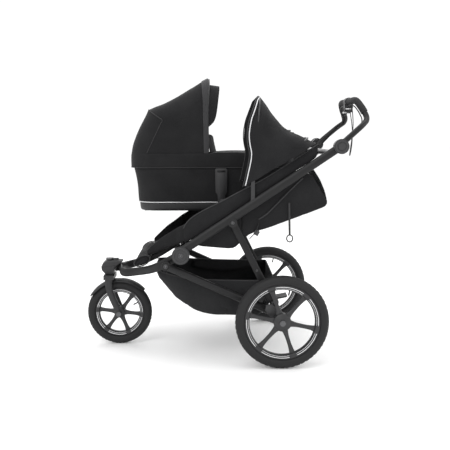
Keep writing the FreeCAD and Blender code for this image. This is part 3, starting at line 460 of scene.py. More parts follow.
def surface(name, colour, roughness, metallic=0.0, sheen=0.0, coat=0.0, weave=None, grain=None,
            bump=0.15, edge=0.0, lift=0.5, specular=0.5):
    """A Principled material whose colour, roughness and bump vary through the shared groups; edge sets how
    strongly its sharp edges are lightened as a painted highlight.
    """
    material = bpy.data.materials.new(name)
    material.use_nodes = True
    tree = material.node_tree
    shader = tree.nodes["Principled BSDF"]
    shader.inputs["Metallic"].default_value = metallic
    shader.inputs["Sheen Weight"].default_value = sheen
    shader.inputs["Sheen Roughness"].default_value = 0.45
    shader.inputs["Coat Weight"].default_value = coat
    shader.inputs["Coat Roughness"].default_value = 0.25
    shader.inputs["Specular IOR Level"].default_value = specular

    def place(group, **values):
        node = tree.nodes.new("ShaderNodeGroup")
        node.node_tree = bpy.data.node_groups[group]
        for label, value in values.items():
            node.inputs[label.replace("_", " ")].default_value = value
        return node

    # the dust mask varies tone and roughness; the edge mask drives a painted highlight on sharp edges
    dust_and_edge_highlight = place("DustAndEdgeHighlight", Edge=edge, Dust_scale=9.0)
    shade = dust_and_edge_highlight.outputs["Dust"]
    height = None
    if weave:
        threads = place("Weave", Threads=weave, Slub=0.6)
        shade = threads.outputs["Shade"]
        height = threads.outputs["Height"]
    elif grain:
        height = place("Grain", Grain_scale=grain).outputs["Height"]
    ramp = tree.nodes.new("ShaderNodeMapRange")
    tree.links.new(shade, ramp.inputs["Value"])
    ramp.inputs["From Min"].default_value = 0.3
    ramp.inputs["From Max"].default_value = 0.7
    blend = tree.nodes.new("ShaderNodeMix")
    blend.data_type = "RGBA"
    tree.links.new(ramp.outputs[0], blend.inputs["Factor"])
    blend.inputs["A"].default_value = [c * (1 - 0.35 * lift) for c in colour[:3]] + [1]
    blend.inputs["B"].default_value = [min(1, c * (1 + 0.6 * lift)) for c in colour[:3]] + [1]
    # painted highlight: sharp edges are lightened toward colour times 2.6, standing in for light caught on
    # edges
    edge_highlighted = tree.nodes.new("ShaderNodeMix")
    edge_highlighted.data_type = "RGBA"
    tree.links.new(dust_and_edge_highlight.outputs["Edge"], edge_highlighted.inputs["Factor"])
    tree.links.new(blend.outputs["Result"], edge_highlighted.inputs["A"])
    edge_highlighted.inputs["B"].default_value = [min(1, c * 2.6 + 0.01) for c in colour[:3]] + [1]
    tree.links.new(edge_highlighted.outputs["Result"], shader.inputs["Base Color"])
    dusty = tree.nodes.new("ShaderNodeMapRange")
    tree.links.new(dust_and_edge_highlight.outputs["Dust"], dusty.inputs["Value"])
    dusty.inputs["From Min"].default_value = 0.35
    dusty.inputs["From Max"].default_value = 0.65
    dusty.inputs["To Min"].default_value = max(0.02, roughness - 0.07)
    dusty.inputs["To Max"].default_value = min(1.0, roughness + 0.07)
    tree.links.new(dusty.outputs[0], shader.inputs["Roughness"])
    if height:
        relief = tree.nodes.new("ShaderNodeBump")
        relief.inputs["Strength"].default_value = bump
        relief.inputs["Distance"].default_value = 0.0005
        tree.links.new(height, relief.inputs["Height"])
        tree.links.new(relief.outputs[0], shader.inputs["Normal"])
    MATERIALS[name] = material
    return material


def make_materials():
    """Every finish of the stroller, and the CAD nodes that keep their own shape."""
    make_weave_group()
    make_dust_and_edge_highlight_group()
    make_grain_group()
    look = settings()
    # each edge value sets that finish's painted highlight on sharp edges
    surface("anodised_tube", look.frame_colour, 0.42, metallic=0.1, grain=2600, bump=0.03, edge=0.2,
            lift=0.15, specular=0.25)
    surface("moulded_plastic", (0.012, 0.012, 0.013), 0.55, grain=1500, bump=0.12, edge=0.3, lift=0.2)
    surface("gloss_plastic", (0.011, 0.011, 0.012), 0.34, grain=2400, bump=0.03, edge=0.3, coat=0.2,
            lift=0.15)
    surface("rim_plastic", (0.0125, 0.0125, 0.0135), 0.42, grain=1800, bump=0.06, edge=0.3, lift=0.2)
    surface("tyre_rubber", (0.011, 0.011, 0.0115), 0.72, grain=700, bump=0.15, lift=0.5, specular=0.35)
    surface("seat_cloth", look.fabric_colour, 0.86, sheen=0.04, weave=2600, bump=0.3, lift=0.9,
            specular=0.25)
    surface("canopy_cloth", look.fabric_colour, 0.84, sheen=0.03, weave=3000, bump=0.25, lift=0.7,
            specular=0.25)
    surface("bassinet_cloth", look.bassinet_colour, 0.85, sheen=0.04, weave=2600, bump=0.3, lift=0.8,
            specular=0.25)
    surface("basket_cloth", look.basket_colour, 0.85, sheen=0.04, weave=2000, bump=0.35, lift=0.9,
            specular=0.25)
    surface("mesh_cloth", (0.012, 0.012, 0.013), 0.8, weave=1100, bump=0.7, lift=1.0, specular=0.3)
    surface("strip_cloth", (0.02, 0.02, 0.0215), 0.8, sheen=0.1, weave=2200, bump=0.3, lift=0.6)
    surface("lining_cloth", (0.05, 0.051, 0.055), 0.9, sheen=0.15, weave=2200, bump=0.3, lift=0.8)
    surface("webbing", (0.016, 0.016, 0.017), 0.7, weave=1600, bump=0.6, lift=0.8)
    surface("reflective_piping", look.piping_colour, 0.45, metallic=0.3, weave=2200, bump=0.2, lift=0.2)
    surface("reflective_band", (0.78, 0.78, 0.79), 0.45, metallic=0.0, grain=2600, bump=0.05, lift=0.1)
    surface("grip_foam", (0.02, 0.02, 0.021), 0.88, grain=1100, bump=0.5, lift=0.7, specular=0.3)
    surface("brushed_steel", (0.3, 0.3, 0.31), 0.36, metallic=1.0, grain=2600, bump=0.05, lift=0.2)
    surface("dark_steel", (0.06, 0.06, 0.062), 0.38, metallic=0.9, grain=2600, bump=0.05, edge=0.5, lift=0.2)
    surface("caliper_alloy", (0.03, 0.03, 0.031), 0.42, metallic=0.3, grain=1800, bump=0.1, edge=0.4,
            lift=0.2)
    carried = {
        "anodised_tube": ("main_tube_left", "main_tube_right", "seat_frame", "front_tubes", "lower_stays",
                          "struts", "handlebar"),
        "moulded_plastic": ("axle_brackets", "pivot_covers", "fork", "parking_pedal", "brake_perch"),
        "gloss_plastic": ("tilt_button_left", "tilt_button_right", "swivel_lock_lever", "brake_lever",
                          "canopy_front_bow_left", "canopy_rear_bow_left", "hood_front_bow", "hood_rear_bow"),
        "dark_steel": ("rear_axle", "front_axle", "wheel_releases"),
        "caliper_alloy": ("brake_calipers",),
        "tyre_rubber": ("brake_cables",),
    }
    for material, nodes in carried.items():
        for node in nodes:
            if node not in frame["nodes"]:
                continue
            mesh = frame["nodes"][node].data
            mesh.materials.clear()
            mesh.materials.append(MATERIALS[material])


# ---------------------------------------------------------------- wheels
WHEELS = (
    ("rear_wheel_left", "rear_wheel_left", 200.0, 46.0, 161.0, 139.0, 38.0, 48, 77),
    ("rear_wheel_right", "rear_wheel_right", 200.0, 46.0, 161.0, 139.0, 38.0, 48, 77),
    ("front_wheel", "front_wheel", 152.5, 44.0, 114.0, 94.0, 26.0, 53, 27),
)


def tyre(name, centre, radius, wide, seat):
    """A treaded tyre: ribs round the crown, cut across by narrow grooves."""
    depth = settings().tread_depth * 1000
    half = wide / 2
    core = radius - half
    profile = []
    for n in range(25):
        angle = math.radians(-128 + 256 * n / 24)
        profile.append((core + half * math.cos(angle), half * 0.985 * math.sin(angle)))
    profile += [(seat, half * 0.55), (seat, -half * 0.55)]

    def tread(step, r, y):
        if r > radius - 7.5:
            grooved = step % 4 == 0 if abs(y) > 4.5 else step % 4 == 2
            if grooved or 4.0 < abs(y) < 6.6 or 12.0 < abs(y) < 13.5:
                r -= depth
        return r

    return turned(name, centre, profile, 216, tread)


def rim(name, centre, outer, inner, hub, lean, thick=12.0):
    """A channel rim, six waisted spokes and a dished hub."""
    edge = (outer - inner) * 0.42
    profile = [(inner, -5), (inner + 4, -edge - 3), (outer - 5, -edge - 6), (outer, -edge - 5),
               (outer, edge + 5), (outer - 5, edge + 6), (inner + 4, edge + 3), (inner, 5)]
    ring = turned(name, centre, profile, 144)
    parts = []
    half = 22.0 if hub > 30 else 24.0
    dish = [(6.05, -half), (hub * 0.5, -half), (hub * 0.58, -half + 2), (hub * 0.9, -half + 5),
            (hub, -half + 8), (hub, half - 8), (hub * 0.9, half - 5),
            (hub * 0.58, half - 2), (hub * 0.5, half), (6.05, half)]
    parts.append(turned(name + "_hub", centre, dish, 96))
    for n in range(6):
        angle = math.radians(lean + 60 * n)
        out = Vector((math.cos(angle), 0, math.sin(angle)))
        side = Vector((-math.sin(angle), 0, math.cos(angle)))
        rows = []
        start, stop = hub - 4, inner + 5
        for k in range(13):
            t = k / 12
            r = start + (stop - start) * t
            flare = 8.5 + 6.5 * abs(2 * t - 1) ** 3
            deep = thick / 2 + 3.0 * (1 - t) ** 2
            ring_points = []
            for m in range(16):
                turn = math.tau * m / 16
                c, s = math.cos(turn), math.sin(turn)
                cx = math.copysign(abs(c) ** 0.6, c)
                sy = math.copysign(abs(s) ** 0.6, s)
                ring_points.append(centre + out * r + side * (flare * cx) + Vector((0, deep * sy, 0)))
            rows.append(ring_points)
        parts.append(grid(name + "_spoke", rows, ring=True, ends=True))
    join(ring, parts)
    return bevel(ring, 0.0009)


def join(target, others):
    """Joins objects into one mesh."""
    bpy.ops.object.select_all(action="DESELECT")
    for obj in others:
        obj.select_set(True)
    target.select_set(True)
    bpy.context.view_layer.objects.active = target
    bpy.ops.object.join()
    return target


def reflective_arcs(name, centre, radius, lean, face):
    """Reflective lines round the rim's face, broken at each spoke."""
    strips = []
    for n in range(6):
        for inner, outer, lift in ((radius - 6.2, radius - 5.0, -0.6), (radius + 0.4, radius + 2.6, 1.1)):
            rows = []
            for k in range(17):
                angle = math.radians(lean + 60 * n + 6.5 + 47 * k / 16)
                c, s = math.cos(angle), math.sin(angle)
                rows.append([centre + Vector((r * c, face + math.copysign(lift + y, face), r * s))
                             for r, y in ((inner, -0.4), (inner, 0.4), (outer, 0.7), (outer, -0.4))])
            strips.append(grid(name, rows, ring=True, ends=True))
    return join(strips[0], strips[1:])


class STROLLER_OT_wheels(bpy.types.Operator):
    """Tyres, rims with their dished hubs, reflective lines and valves"""
    bl_idname = "stroller.wheels"
    bl_label = "Wheels"

    def execute(self, context):
        for prefix, body, radius, wide, outer, inner, hub, lean, stem_turn in WHEELS:
            centre = middle(prefix + "_tyre")
            tread = tyre(prefix + "_tread", centre, radius, wide, outer)
            finish_piece(tread, "tyre_rubber", body, "tyre_rubber", prefix + "_tyre")
            spoked = rim(prefix + "_spokes", centre, outer, inner, hub, lean)
            apply(spoked)
            finish_piece(spoked, "rim_plastic", body, "rim_black", prefix + "_rim")
            edge = (outer - inner) * 0.42 + 4.4
            for side, sign in SIDES:
                name = "%s_reflector_%s" % (prefix, side)
                lines = reflective_arcs(name, centre, inner + 12.0, lean, sign * edge)
                lines.name = name
                finish_piece(lines, "reflective_band", body, "reflective_piping")
            turn = math.radians(stem_turn)
            way = Vector((math.cos(turn), 0, math.sin(turn)))
            stem = tube(prefix + "_valve", [centre + way * (inner + 3), centre + way * (inner - 10),
                                            centre + way * (inner - 11), centre + way * (inner - 22)],
                        [3.2, 2.8, 3.6, 3.2], 14)
            finish_piece(stem, "dark_steel", body, "axle_steel")
        return {"FINISHED"}


# ---------------------------------------------------------------- frame details
def bolt(name, place, radius, height, sign):
    """A button-headed bolt with a socket, facing along Y."""
    profile = [(0.01, height), (radius * 0.42, height), (radius * 0.45, height * 0.35),
               (radius * 0.6, height * 0.3), (radius * 0.62, height),
               (radius * 0.85, height * 0.8), (radius, 0.0), (0.01, 0.0)]
    return turned(name, Vector(place), [(r, sign * y) for r, y in profile], 28)


def coil(name, low, high, radius, wire, turns):
    """A compression spring between two points."""
    axis = Vector(high) - Vector(low)
    across = axis.orthogonal().normalized()
    up = axis.normalized().cross(across)
    points = []
    count = turns * 20
    for n in range(count + 1):
        angle = math.tau * turns * n / count
        out = across * math.cos(angle) + up * math.sin(angle)
        points.append(Vector(low) + axis * (n / count) + out * radius)
    return tube(name, points, wire, 8)


def fender_blade(name, centre, radius, first, last, half):
    """A mudguard: an arc whose edges turn down over the tyre."""
    rows = []
    for k in range(41):
        turn = math.radians(first + (last - first) * k / 40)
        end = min(1.0, 8.0 * min(k, 40 - k) / 40)
        wide = half * (0.72 + 0.28 * math.sqrt(end))
        row = []
        for thick in (2.6, 0.0):
            across = [wide * (2 * m / 16 - 1) for m in range(17)]
            for y in (across if thick else across[::-1]):
                r = radius + thick - 10.0 * abs(y / half) ** 3
                row.append(centre + Vector((r * math.cos(turn), y, r * math.sin(turn))))
        rows.append(row)
    return grid(name, rows, ring=True, ends=True)


class STROLLER_OT_frame_details(bpy.types.Operator):
    """Bolts, spring units and trims on the frame"""
    bl_idname = "stroller.frame_details"
    bl_label = "Frame details"

    def front_end(self):
        """The head's housing, the mudguard and its foot."""
        outline = [(-548, 335), (-513, 335), (-505, 372), (-474, 392), (-470, 401), (-488, 402), (-541, 402),
                   (-559, 395), (-569, 374), (-567, 357)]
        head = slab_mesh("head_housing", outline, -31, 31)
        bevel(head, 0.0045, 3)
        apply(head)
        finish_piece(head, "moulded_plastic", "front_frame", "plastic_black", "steering_head")
        outline = [(-566, 371), (-505, 379), (-505, 380.2), (-566, 372.2)]
        lid = slab_mesh("head_lid_seam", outline, -31.6, 31.6)
        finish_piece(lid, "tyre_rubber", "front_frame", "plastic_black")
        hub = middle("front_wheel_tyre")
        blade = fender_blade("mudguard", hub, 158.3, 42, 150, 31)
        bevel(blade, 0.0008, 2)
        foot = slab_mesh("mudguard_foot", [(-546, 300), (-516, 306), (-514, 318), (-550, 318)], -12, 12)
        apply(blade)
        finish_piece(join(blade, [foot]), "moulded_plastic", "fork", "plastic_black", "fender")

    def posts(self):
        """The canopy's pivot plates and the two posts that the bassinet clips on."""
        hub = pivot("canopy_open")
        plates = []
        for y, lift in ((-320, -12), (0, 13), (324, 23)):
            foot = main_height(hub.x) + lift
            outline = [(hub.x - 9, foot - 6), (hub.x + 9, foot + 6), (hub.x + 8, hub.z + 8),
                       (hub.x - 8, hub.z + 8)]
            plates.append(slab_mesh("pivot_plate", outline, y - 3.5, y + 3.5))
            boss = [(0.01, -5), (12, -5), (12, 5), (0.01, 5)]
            plates.append(turned("pivot_boss", Vector((hub.x, y, hub.z)), boss, 40))
        whole = join(plates[0], plates[1:])
        whole.name = "canopy_pivot_plates"
        bevel(whole, 0.0012)
        apply(whole)
        finish_piece(whole, "moulded_plastic", "main_frame", "plastic_black", "canopy_posts")
        parts = []
        x = -3
        for low, high, lift, face, sign in ((3, 15, 13, 3, -1), (305.5, 317, 23, 317, 1)):
            foot = main_height(x) + lift
            outline = [(x - 17, foot - 11), (x + 17, foot + 11), (x + 18, 706), (x + 26, 722), (x + 28, 826),
                       (x + 22, 833), (x - 24, 833), (x - 30, 826), (x - 28, 722), (x - 18, 706)]
            parts.append(slab_mesh("post_plate", outline, low, high))
            rib = [(x - 12, foot + 8), (x + 12, foot + 22), (x + 13, 722), (x + 18, 744), (x + 18, 812),
                   (x - 18, 812), (x - 18, 744), (x - 12, 722)]
            parts.append(slab_mesh("post_rib", rib, *sorted((face, face + sign * 1.8))))
            disc = [(0.01, 0), (17, 0), (17, sign * 3.5), (12, sign * 4.2), (0.01, sign * 4.2)]
            parts.append(turned("post_disc", Vector((x + 6, face, 672)), disc, 48))
        post = join(parts[0], parts[1:])
        post.name = "adapter_post_shells"
        bevel(post, 0.0018)
        apply(post)
        finish_piece(post, "moulded_plastic", "main_frame", "plastic_black", "adapter_posts")
        outline = [(x - 20, 816), (x + 18, 816), (x + 18, 825), (x - 20, 825)]
        slot = slab_mesh("adapter_slot", outline, 0.8, 3.2)
        finish_piece(slot, "tyre_rubber", "main_frame", "plastic_black")

    def execute(self, context):
        self.front_end()
        self.posts()
        fold, hub = pivot("fold"), pivot("handlebar_tilt")
        strut, stay = pivot("strut_fold"), pivot("rear_fold")
        axle = pivot("parking_pedal_press")
        for side, sign in SIDES:
            bolts = join(bolt("fold_bolt", (fold.x, sign * 338, fold.z), 11, 2.6, sign),
                         [bolt("strut_bolt", (strut.x, sign * 330.5, strut.z), 8, 3.0, sign)])
            finish_piece(bolts, "dark_steel", "main_frame", "axle_steel").name = "main_bolts_" + side
            ring = turned("fold_ring_" + side, Vector((fold.x, sign * 338.2, fold.z)),
                          [(26, 0), (28, sign * 1.2), (33, sign * 1.2), (35, 0)], 64)
            finish_piece(ring, "gloss_plastic", "main_frame", "plastic_black")
            ring = turned("hub_ring_" + side, Vector((hub.x, sign * 338.2, hub.z)),
                          [(19, 0), (20.5, sign * 1.1), (27, sign * 1.1), (29, 0)], 64)
            finish_piece(ring, "gloss_plastic", "main_frame", "plastic_black")
            stay_bolt = bolt("stay_bolt_" + side, (stay.x, sign * 296, stay.z), 10, 3.0, sign)
            finish_piece(stay_bolt, "dark_steel", "front_frame", "axle_steel")
            way = (axle - strut).normalized()
            mid = strut + way * 236
            strut_bolt = bolt("strut_bolt_" + side, (mid.x, sign * 300, mid.z), 5.5, 2.2, sign)
            finish_piece(strut_bolt, "dark_steel", "rear_struts", "axle_steel")
            foot = strut + way * 392
            cap = bolt("bracket_bolt_" + side, (foot.x, sign * 308, foot.z), 8, 3.0, sign)
            finish_piece(cap, "dark_steel", "rear_chassis", "axle_steel")
            y = sign * 264
            outline = [(134, 272), (170, 256), (178, 272), (176, 284), (150, 300), (142, 296)]
            casing = slab_mesh("spring_case", outline, y - 12, y + 12)
            bevel(casing, 0.004, 3)
            apply(casing)
            unit = join(casing, [coil("spring", (172, y, 276), (212, y, 256), 11, 2.2, 5),
                                 tube("spring_rod", [(160, y, 282), (216, y, 254)], 5, 16)])
            unit.name = "suspension_unit_" + side
            nodes = ("suspension_housings",) if side == "left" else ()
            finish_piece(unit, "moulded_plastic", "rear_chassis", "plastic_black", *nodes)
        return {"FINISHED"}


# ---------------------------------------------------------------- handlebar
class STROLLER_OT_handlebar(bpy.types.Operator):
    """Foam grip, its end collars and the wrist strap"""
    bl_idname = "stroller.handlebar"
    bl_label = "Handlebar"

    def execute(self, context):
        route = line([(616.6, -216, 1090), (606, -205, 1112), (592, -160, 1141.5), (590, -60, 1144),
                      (590, 60, 1144), (592, 160, 1141.5), (606, 205, 1112), (616.6, 216, 1090)], 14)
        grip = tube("foam_grip", route, 15.6, 32)
        wave(grip, 0.0004, 60, 3)
        finish_piece(grip, "grip_foam", "handlebar", "grip_foam", "handlebar_grip")
        for side, end in (("left", route[:3]), ("right", route[-3:])):
            collar = tube("grip_collar_" + side, end, [16.4, 16.8, 16.0], 32)
            finish_piece(collar, "gloss_plastic", "handlebar", "plastic_black")
        # the wrist strap hangs in a narrow loop from under the crossbar
        points = [(591, -32, 1128.2), (594, -34, 1090), (604, -36, 1030), (604, -42, 968), (598, -48, 920),
                  (590, -56, 893), (586, -68, 898), (590, -78, 945), (598, -80, 1005), (599, -76, 1068),
                  (592, -74, 1128.2)]
        strap = cord_curve("wrist_strap_cord", points, 0.002)
        finish_piece(strap, "webbing", "handlebar", "webbing", "wrist_strap")
        return {"FINISHED"}


# ---------------------------------------------------------------- seats
def shell_rows(stations, y_in, y_out, columns=9):
    """U-shaped rows: stations of (x, side top height, floor height), carried between two Y planes."""
    rows = []
    for x, top, floor in stations:
        row = []
        width = y_out - y_in
        for k in range(columns):
            t = k / (columns - 1)
            row.append((x, y_in, top + (floor - top) * t ** 0.9))
        for k in range(1, 12):
            t = k / 12
            belly = 5.0 * math.sin(math.pi * t)
            row.append((x, y_in + width * t, floor - belly))
        for k in range(columns):
            t = 1 - k / (columns - 1)
            row.append((x, y_out, top + (floor - top) * t ** 0.9))
        rows.append([Vector(p) for p in row])
    return rows


def band(name, low_line, high_line, y, thick, bulge, count=40):
    """A padded band between two edge lines in a side plane."""
    low = spread(line([(x, 0, z) for x, z in low_line], 8), count)
    high = spread(line([(x, 0, z) for x, z in high_line], 8), count)
    rows = []
    for n, (a, b) in enumerate(zip(low, high)):
        end = min(1.0, 4.0 * min(n, count - 1 - n) / (count - 1))
        fat = thick / 2 * (0.35 + 0.65 * math.sqrt(end))
        ring = []
        for k in range(20):
            turn = math.tau * k / 20
            c, s = math.cos(turn), math.sin(turn)
            t = 0.5 + 0.5 * math.copysign(abs(c) ** 0.75, c)
            point = a.lerp(b, t)
            swell = bulge * math.sin(math.pi * t) * (1 if s > 0 else -0.2)
            puff = fat * math.copysign(abs(s) ** 0.6, s) + swell
            ring.append(Vector((point.x, y + math.copysign(1, y) * puff, point.z)))
        rows.append(ring)
    return grid(name, rows, ring=True, ends=True)


SEAT_CLOTH = 0.0022  # metres thick, with its lining


class STROLLER_OT_seats(bpy.types.Operator):
    """Seat bands, slung shells, cushions, backs, leg rests, footrest and harness"""
    bl_idname = "stroller.seats"
    bl_label = "Seats"

    def execute(self, context):
        self.bands()
        self.shells()
        self.cushions()
        self.leg_rests()
        self.harness()
        self.recline_pull()
        return {"FINISHED"}

    def bands(self):
        low = [(-168, main_height(-168) + 24), (-60, main_height(-60) + 20), (180, main_height(180) + 20),
               (400, main_height(400) + 20)]
        high = [(-172, 592), (-150, 626), (-103, 660), (-20, 702), (60, 745), (180, 808), (300, 884),
                (404, 952)]
        for side, sign in SIDES:
            strip = band("seat_band_" + side, low, high, sign * 303.5, 6, 2.0)
            soften(strip)
            apply(strip)
            wave(strip, 0.0016, 14, 4)
            nodes = ("seat_sides",) if side == "left" else ()
            finish_piece(strip, "seat_cloth", "main_frame", "seat_fabric", *nodes)
            edge = spread(line([(x, sign * 304.5, z + 0.5) for x, z in high], 8), 80)
            finish_piece(tube("band_piping_" + side, edge, 2.3, 10), "webbing", "main_frame", "webbing")

    def shells(self):
        """The slung fabric under each seat; the left one's back part is left without a body here, though on
        the real seat it goes up with its back.
        """
        under = [(-128, 530), (-122, 516), (-60, 508), (0, 503), (45, 499), (66, 520), (76, 534)]
        back = {
            "left": [(78, 537), (110, 562), (154, 582), (208, 596), (290, 626), (370, 656), (400, 667),
                     (425, 676), (440, 684), (445, 696)],
            "right": [(78, 530), (110, 533), (154, 541), (208, 554), (290, 570), (370, 611), (430, 645),
                      (438, 652)],
        }

        def left_top(x):
            return min(main_height(x) - 6, 842 - 1.9 * max(0.0, x - 388), 2 * (446 - x) + 700)

        def right_top(x):
            return min(main_height(x) - 6, 0.32 * x + 588)

        for (side, sign), top in zip(SIDES, (left_top, right_top)):
            planes = (sign * 286, sign * 14)
            rows = shell_rows([(x, main_height(x) - 6, z) for x, z in under], *planes)
            shell = cloth("seat_sling_" + side, rows, SEAT_CLOTH, (0.002, 22, 5))
            finish_piece(shell, "seat_cloth", "main_frame", "seat_fabric")
            rows = shell_rows([(x, max(top(x), z + 14), z) for x, z in back[side]], *planes)
            sling = cloth("back_sling_" + side, rows, SEAT_CLOTH, (0.0035, 16, 7))
            finish_piece(sling, "seat_cloth", None if side == "left" else "main_frame", "seat_fabric")
            if side == "left":
                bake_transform(sling)
        seam = [(150, 628), (186, 652), (236, 702), (290, 758), (340, 806)]
        welt = tube("back_sling_piping", spread(line([(x, -289.5, z) for x, z in seam], 8), 60), 3.4, 12)
        finish_piece(welt, "webbing", None, "webbing")
        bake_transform(welt)
        adjuster = slab_mesh("sling_adjuster", [(128, 566), (146, 556), (156, 574), (150, 584), (136, 582)],
                             -296, -289)
        bevel(adjuster, 0.0015)
        apply(adjuster)
        finish_piece(adjuster, "caliper_alloy", "main_frame", "plastic_black")
        run = [(112, -290, 545), (138, -292, 572), (152, -290, 612)]
        strap = tube("adjuster_strap", run, 7, 12, flat=0.25)
        finish_piece(strap, "webbing", "main_frame", "webbing")
        end_line = [(446, 692), (446, 706), (439, 738), (430, 764), (414, 797), (388, 842)]
        rows = []
        for place in spread(line([(x, 0, z) for x, z in end_line], 6), 14):
            rows.append([Vector((place.x + 4 * math.sin(math.pi * k / 12), -286 + 272 * k / 12, place.z))
                         for k in range(13)])
        panel = cloth("head_end_panel", rows, SEAT_CLOTH, (0.004, 15, 9))
        finish_piece(panel, "seat_cloth", None, "seat_fabric", "seat_head_panel_left")
        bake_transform(panel)

    def cushions(self):
        bottom = [(-120, 526), (-30, 518), (42, 507), (72, 541), (74, 553), (40, 546), (-30, 549),
                  (-116, 556)]
        backs = {
            "left": ("seat_back", [(98, 558), (154, 588), (208, 603), (290, 634), (434, 689), (440, 700),
                                   (432, 712), (288, 655), (206, 624), (150, 608), (96, 580)]),
            "right": ("main_frame", [(96, 538), (154, 549), (290, 577), (434, 652), (428, 671), (286, 592),
                                     (150, 566), (96, 558)]),
        }
        for side, sign in SIDES:
            low, high = sorted((sign * 20, sign * 281))
            pad = outline_pad("seat_cushion_" + side, bottom, low, high, 2.5, 0.006, 3.0, 0.007)
            nodes = ("seat_cushions",) if side == "left" else ()
            finish_piece(pad, "seat_cloth", "main_frame", "seat_fabric", *nodes).name = "seat_pad_" + side
            body, outline = backs[side]
            pad = outline_pad("back_pad_" + side, outline, low + 2, high - 2, 2.5, 0.007, 3.0, 0.008)
            finish_piece(pad, "seat_cloth", body, "seat_fabric", "seat_back_" + side)
            welt = [(x, sign * 150, z) for x, z in ((-118, 557), (-30, 551), (40, 549), (70, 556))]
            seam = tube("cushion_seam_" + side, spread(line(welt, 8), 40), 1.6, 8)
            finish_piece(seam, "webbing", "main_frame", "webbing")

    def leg_rests(self):
        for side, sign in SIDES:
            rows = []
            path = [(-116, 548), (-160, 528), (-200, 512), (-260, 488), (-318, 463), (-334, 458)]
            wing = [96, 78, 72, 56, 32, 18]
            outer = [282, 262, 224, 196, 184, 178]
            for (x, z), tall, far in zip(path, wing, outer):
                row = []
                for k in range(5):
                    row.append((x - 4, sign * (far + 2), z + tall * (1 - k / 4)))
                for k in range(1, 10):
                    t = k / 10
                    row.append((x, sign * (far + (18 - far) * t), z - 3 + 5 * math.sin(math.pi * t)))
                for k in range(4):
                    row.append((x, sign * 18, z + tall * 0.25 * k / 3))
                rows.append([Vector(p) for p in row])
            rest = grid("leg_rest_" + side, [spread([r[c] for r in rows], 18) for c in range(len(rows[0]))])
            thicken(rest, 0.007)
            soften(rest, 2)
            apply(rest)
            wave(rest, 0.003, 16, 11 + sign)
            nodes = ("leg_rests",) if side == "left" else ()
            finish_piece(rest, "seat_cloth", None, "seat_fabric", *nodes).name = "leg_rest_cloth_" + side
            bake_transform(rest)
        tilt = math.radians(25)
        outline = []
        for n in range(20):
            along, across = 38 * math.cos(math.tau * n / 20), 21 * math.sin(math.tau * n / 20)
            outline.append((-360 + along * math.cos(tilt) - across * math.sin(tilt),
                            433 + along * math.sin(tilt) + across * math.cos(tilt)))
        foot = outline_pad("footrest", outline, -198, 198, 1.5, 0.006, 3.0, 0.005)
        foot.name = "footrest_cushion"
        finish_piece(foot, "seat_cloth", "front_frame", "seat_fabric", "footrest_pad")
        for side, sign in SIDES:
            loop = [(x, sign * 197, z) for x, z in outline]
            points = spread(line(loop + loop[:1], 8), 64)[:-1]
            piping = tube("footrest_piping_" + side, points, 2.6, 10, closed=True)
            finish_piece(piping, "webbing", "front_frame", "webbing")

    def harness(self):
        """Five-point harness: crotch strap, lap straps, shoulder straps, pads and a buckle on each seat."""
        for side, sign in SIDES:
            mid = sign * 150
            straps = []
            routes = [
                [(-86, 0, 560), (-62, 0, 563), (-40, 0, 566)],
                [(66, 96, 560), (30, 80, 560), (-10, 44, 563), (-36, 16, 567)],
                [(66, -96, 560), (30, -80, 560), (-10, -44, 563), (-36, -16, 567)],
            ]
            for route in routes:
                points = spread(line([(x, mid + y, z) for x, y, z in route], 8), 24)
                straps.append(tube("s", points, 11, 12, flat=0.12))
            webbing = join(straps[0], straps[1:])
            webbing.name = "lap_webbing_" + side
            nodes = ("harness",) if side == "left" else ()
            finish_piece(webbing, "webbing", "main_frame", "webbing", *nodes)
            tethers = []
            for x, tall, wide in ((-44, 34, 26), (-8, 46, 30), (30, 30, 24)):
                foot = main_height(x) + 18
                loop = [(x - wide / 2, sign * 291, foot), (x - wide / 2 - 4, sign * 293, foot + tall * 0.7),
                        (x + 2, sign * 291, foot + tall), (x + wide / 2 + 3, sign * 289, foot + tall * 0.6),
                        (x + wide / 2, sign * 288, foot + 4)]
                tethers.append(tube("t", spread(line(loop, 8), 40), 4.2, 10, flat=0.3))
            tether = join(tethers[0], tethers[1:])
            tether.name = "harness_tethers_" + side
            finish_piece(tether, "webbing", "main_frame", "webbing")
            body, drop = ("seat_back", 0) if side == "left" else ("main_frame", -42)
            straps = []
            for off in (-34, 34):
                route = [(100, 592 + drop * 0.6), (150, 616 + drop), (206, 632 + drop * 0.95),
                         (262, 652 + drop * 1.2)]
                points = spread(line([(x, mid + off, z) for x, z in route], 8), 24)
                straps.append(tube("s", points, 19, 16, flat=0.22))
            pads = join(straps[0], straps[1:])
            pads.name = "shoulder_pads_" + side
            finish_piece(pads, "seat_cloth", body, "seat_fabric")
            outline = [(-66, 562), (-34, 560), (-30, 566), (-36, 573), (-62, 574)]
            buckle = slab_mesh("harness_buckle_" + side, outline, mid - 21, mid + 21)
            bevel(buckle, 0.003, 3)
            apply(buckle)
            button = turned("b", Vector((-48, mid, 571)), [(0.01, -9), (9, -9), (9, 9), (0.01, 9)], 32)
            finish_piece(join(buckle, [button]), "gloss_plastic", "main_frame", "plastic_black")

    def recline_pull(self):
        """The strap that lets the left back down, hanging with its ring."""
        points = [(282, -293.5, 700), (283, -294, 620), (285, -293, 562)]
        strap = cord_curve("recline_pull_strap", points, 0.0045)
        finish_piece(strap, "webbing", "seat_back", "webbing", "recline_pull")
        circle = [(math.cos(math.tau * n / 32), math.sin(math.tau * n / 32)) for n in range(32)]
        loop = [(285 + 13 * c, -293, 546 + 15 * s) for c, s in circle]
        ring = tube("recline_ring", loop, 2.8, 12, closed=True)
        finish_piece(ring, "gloss_plastic", "seat_back", "plastic_black")


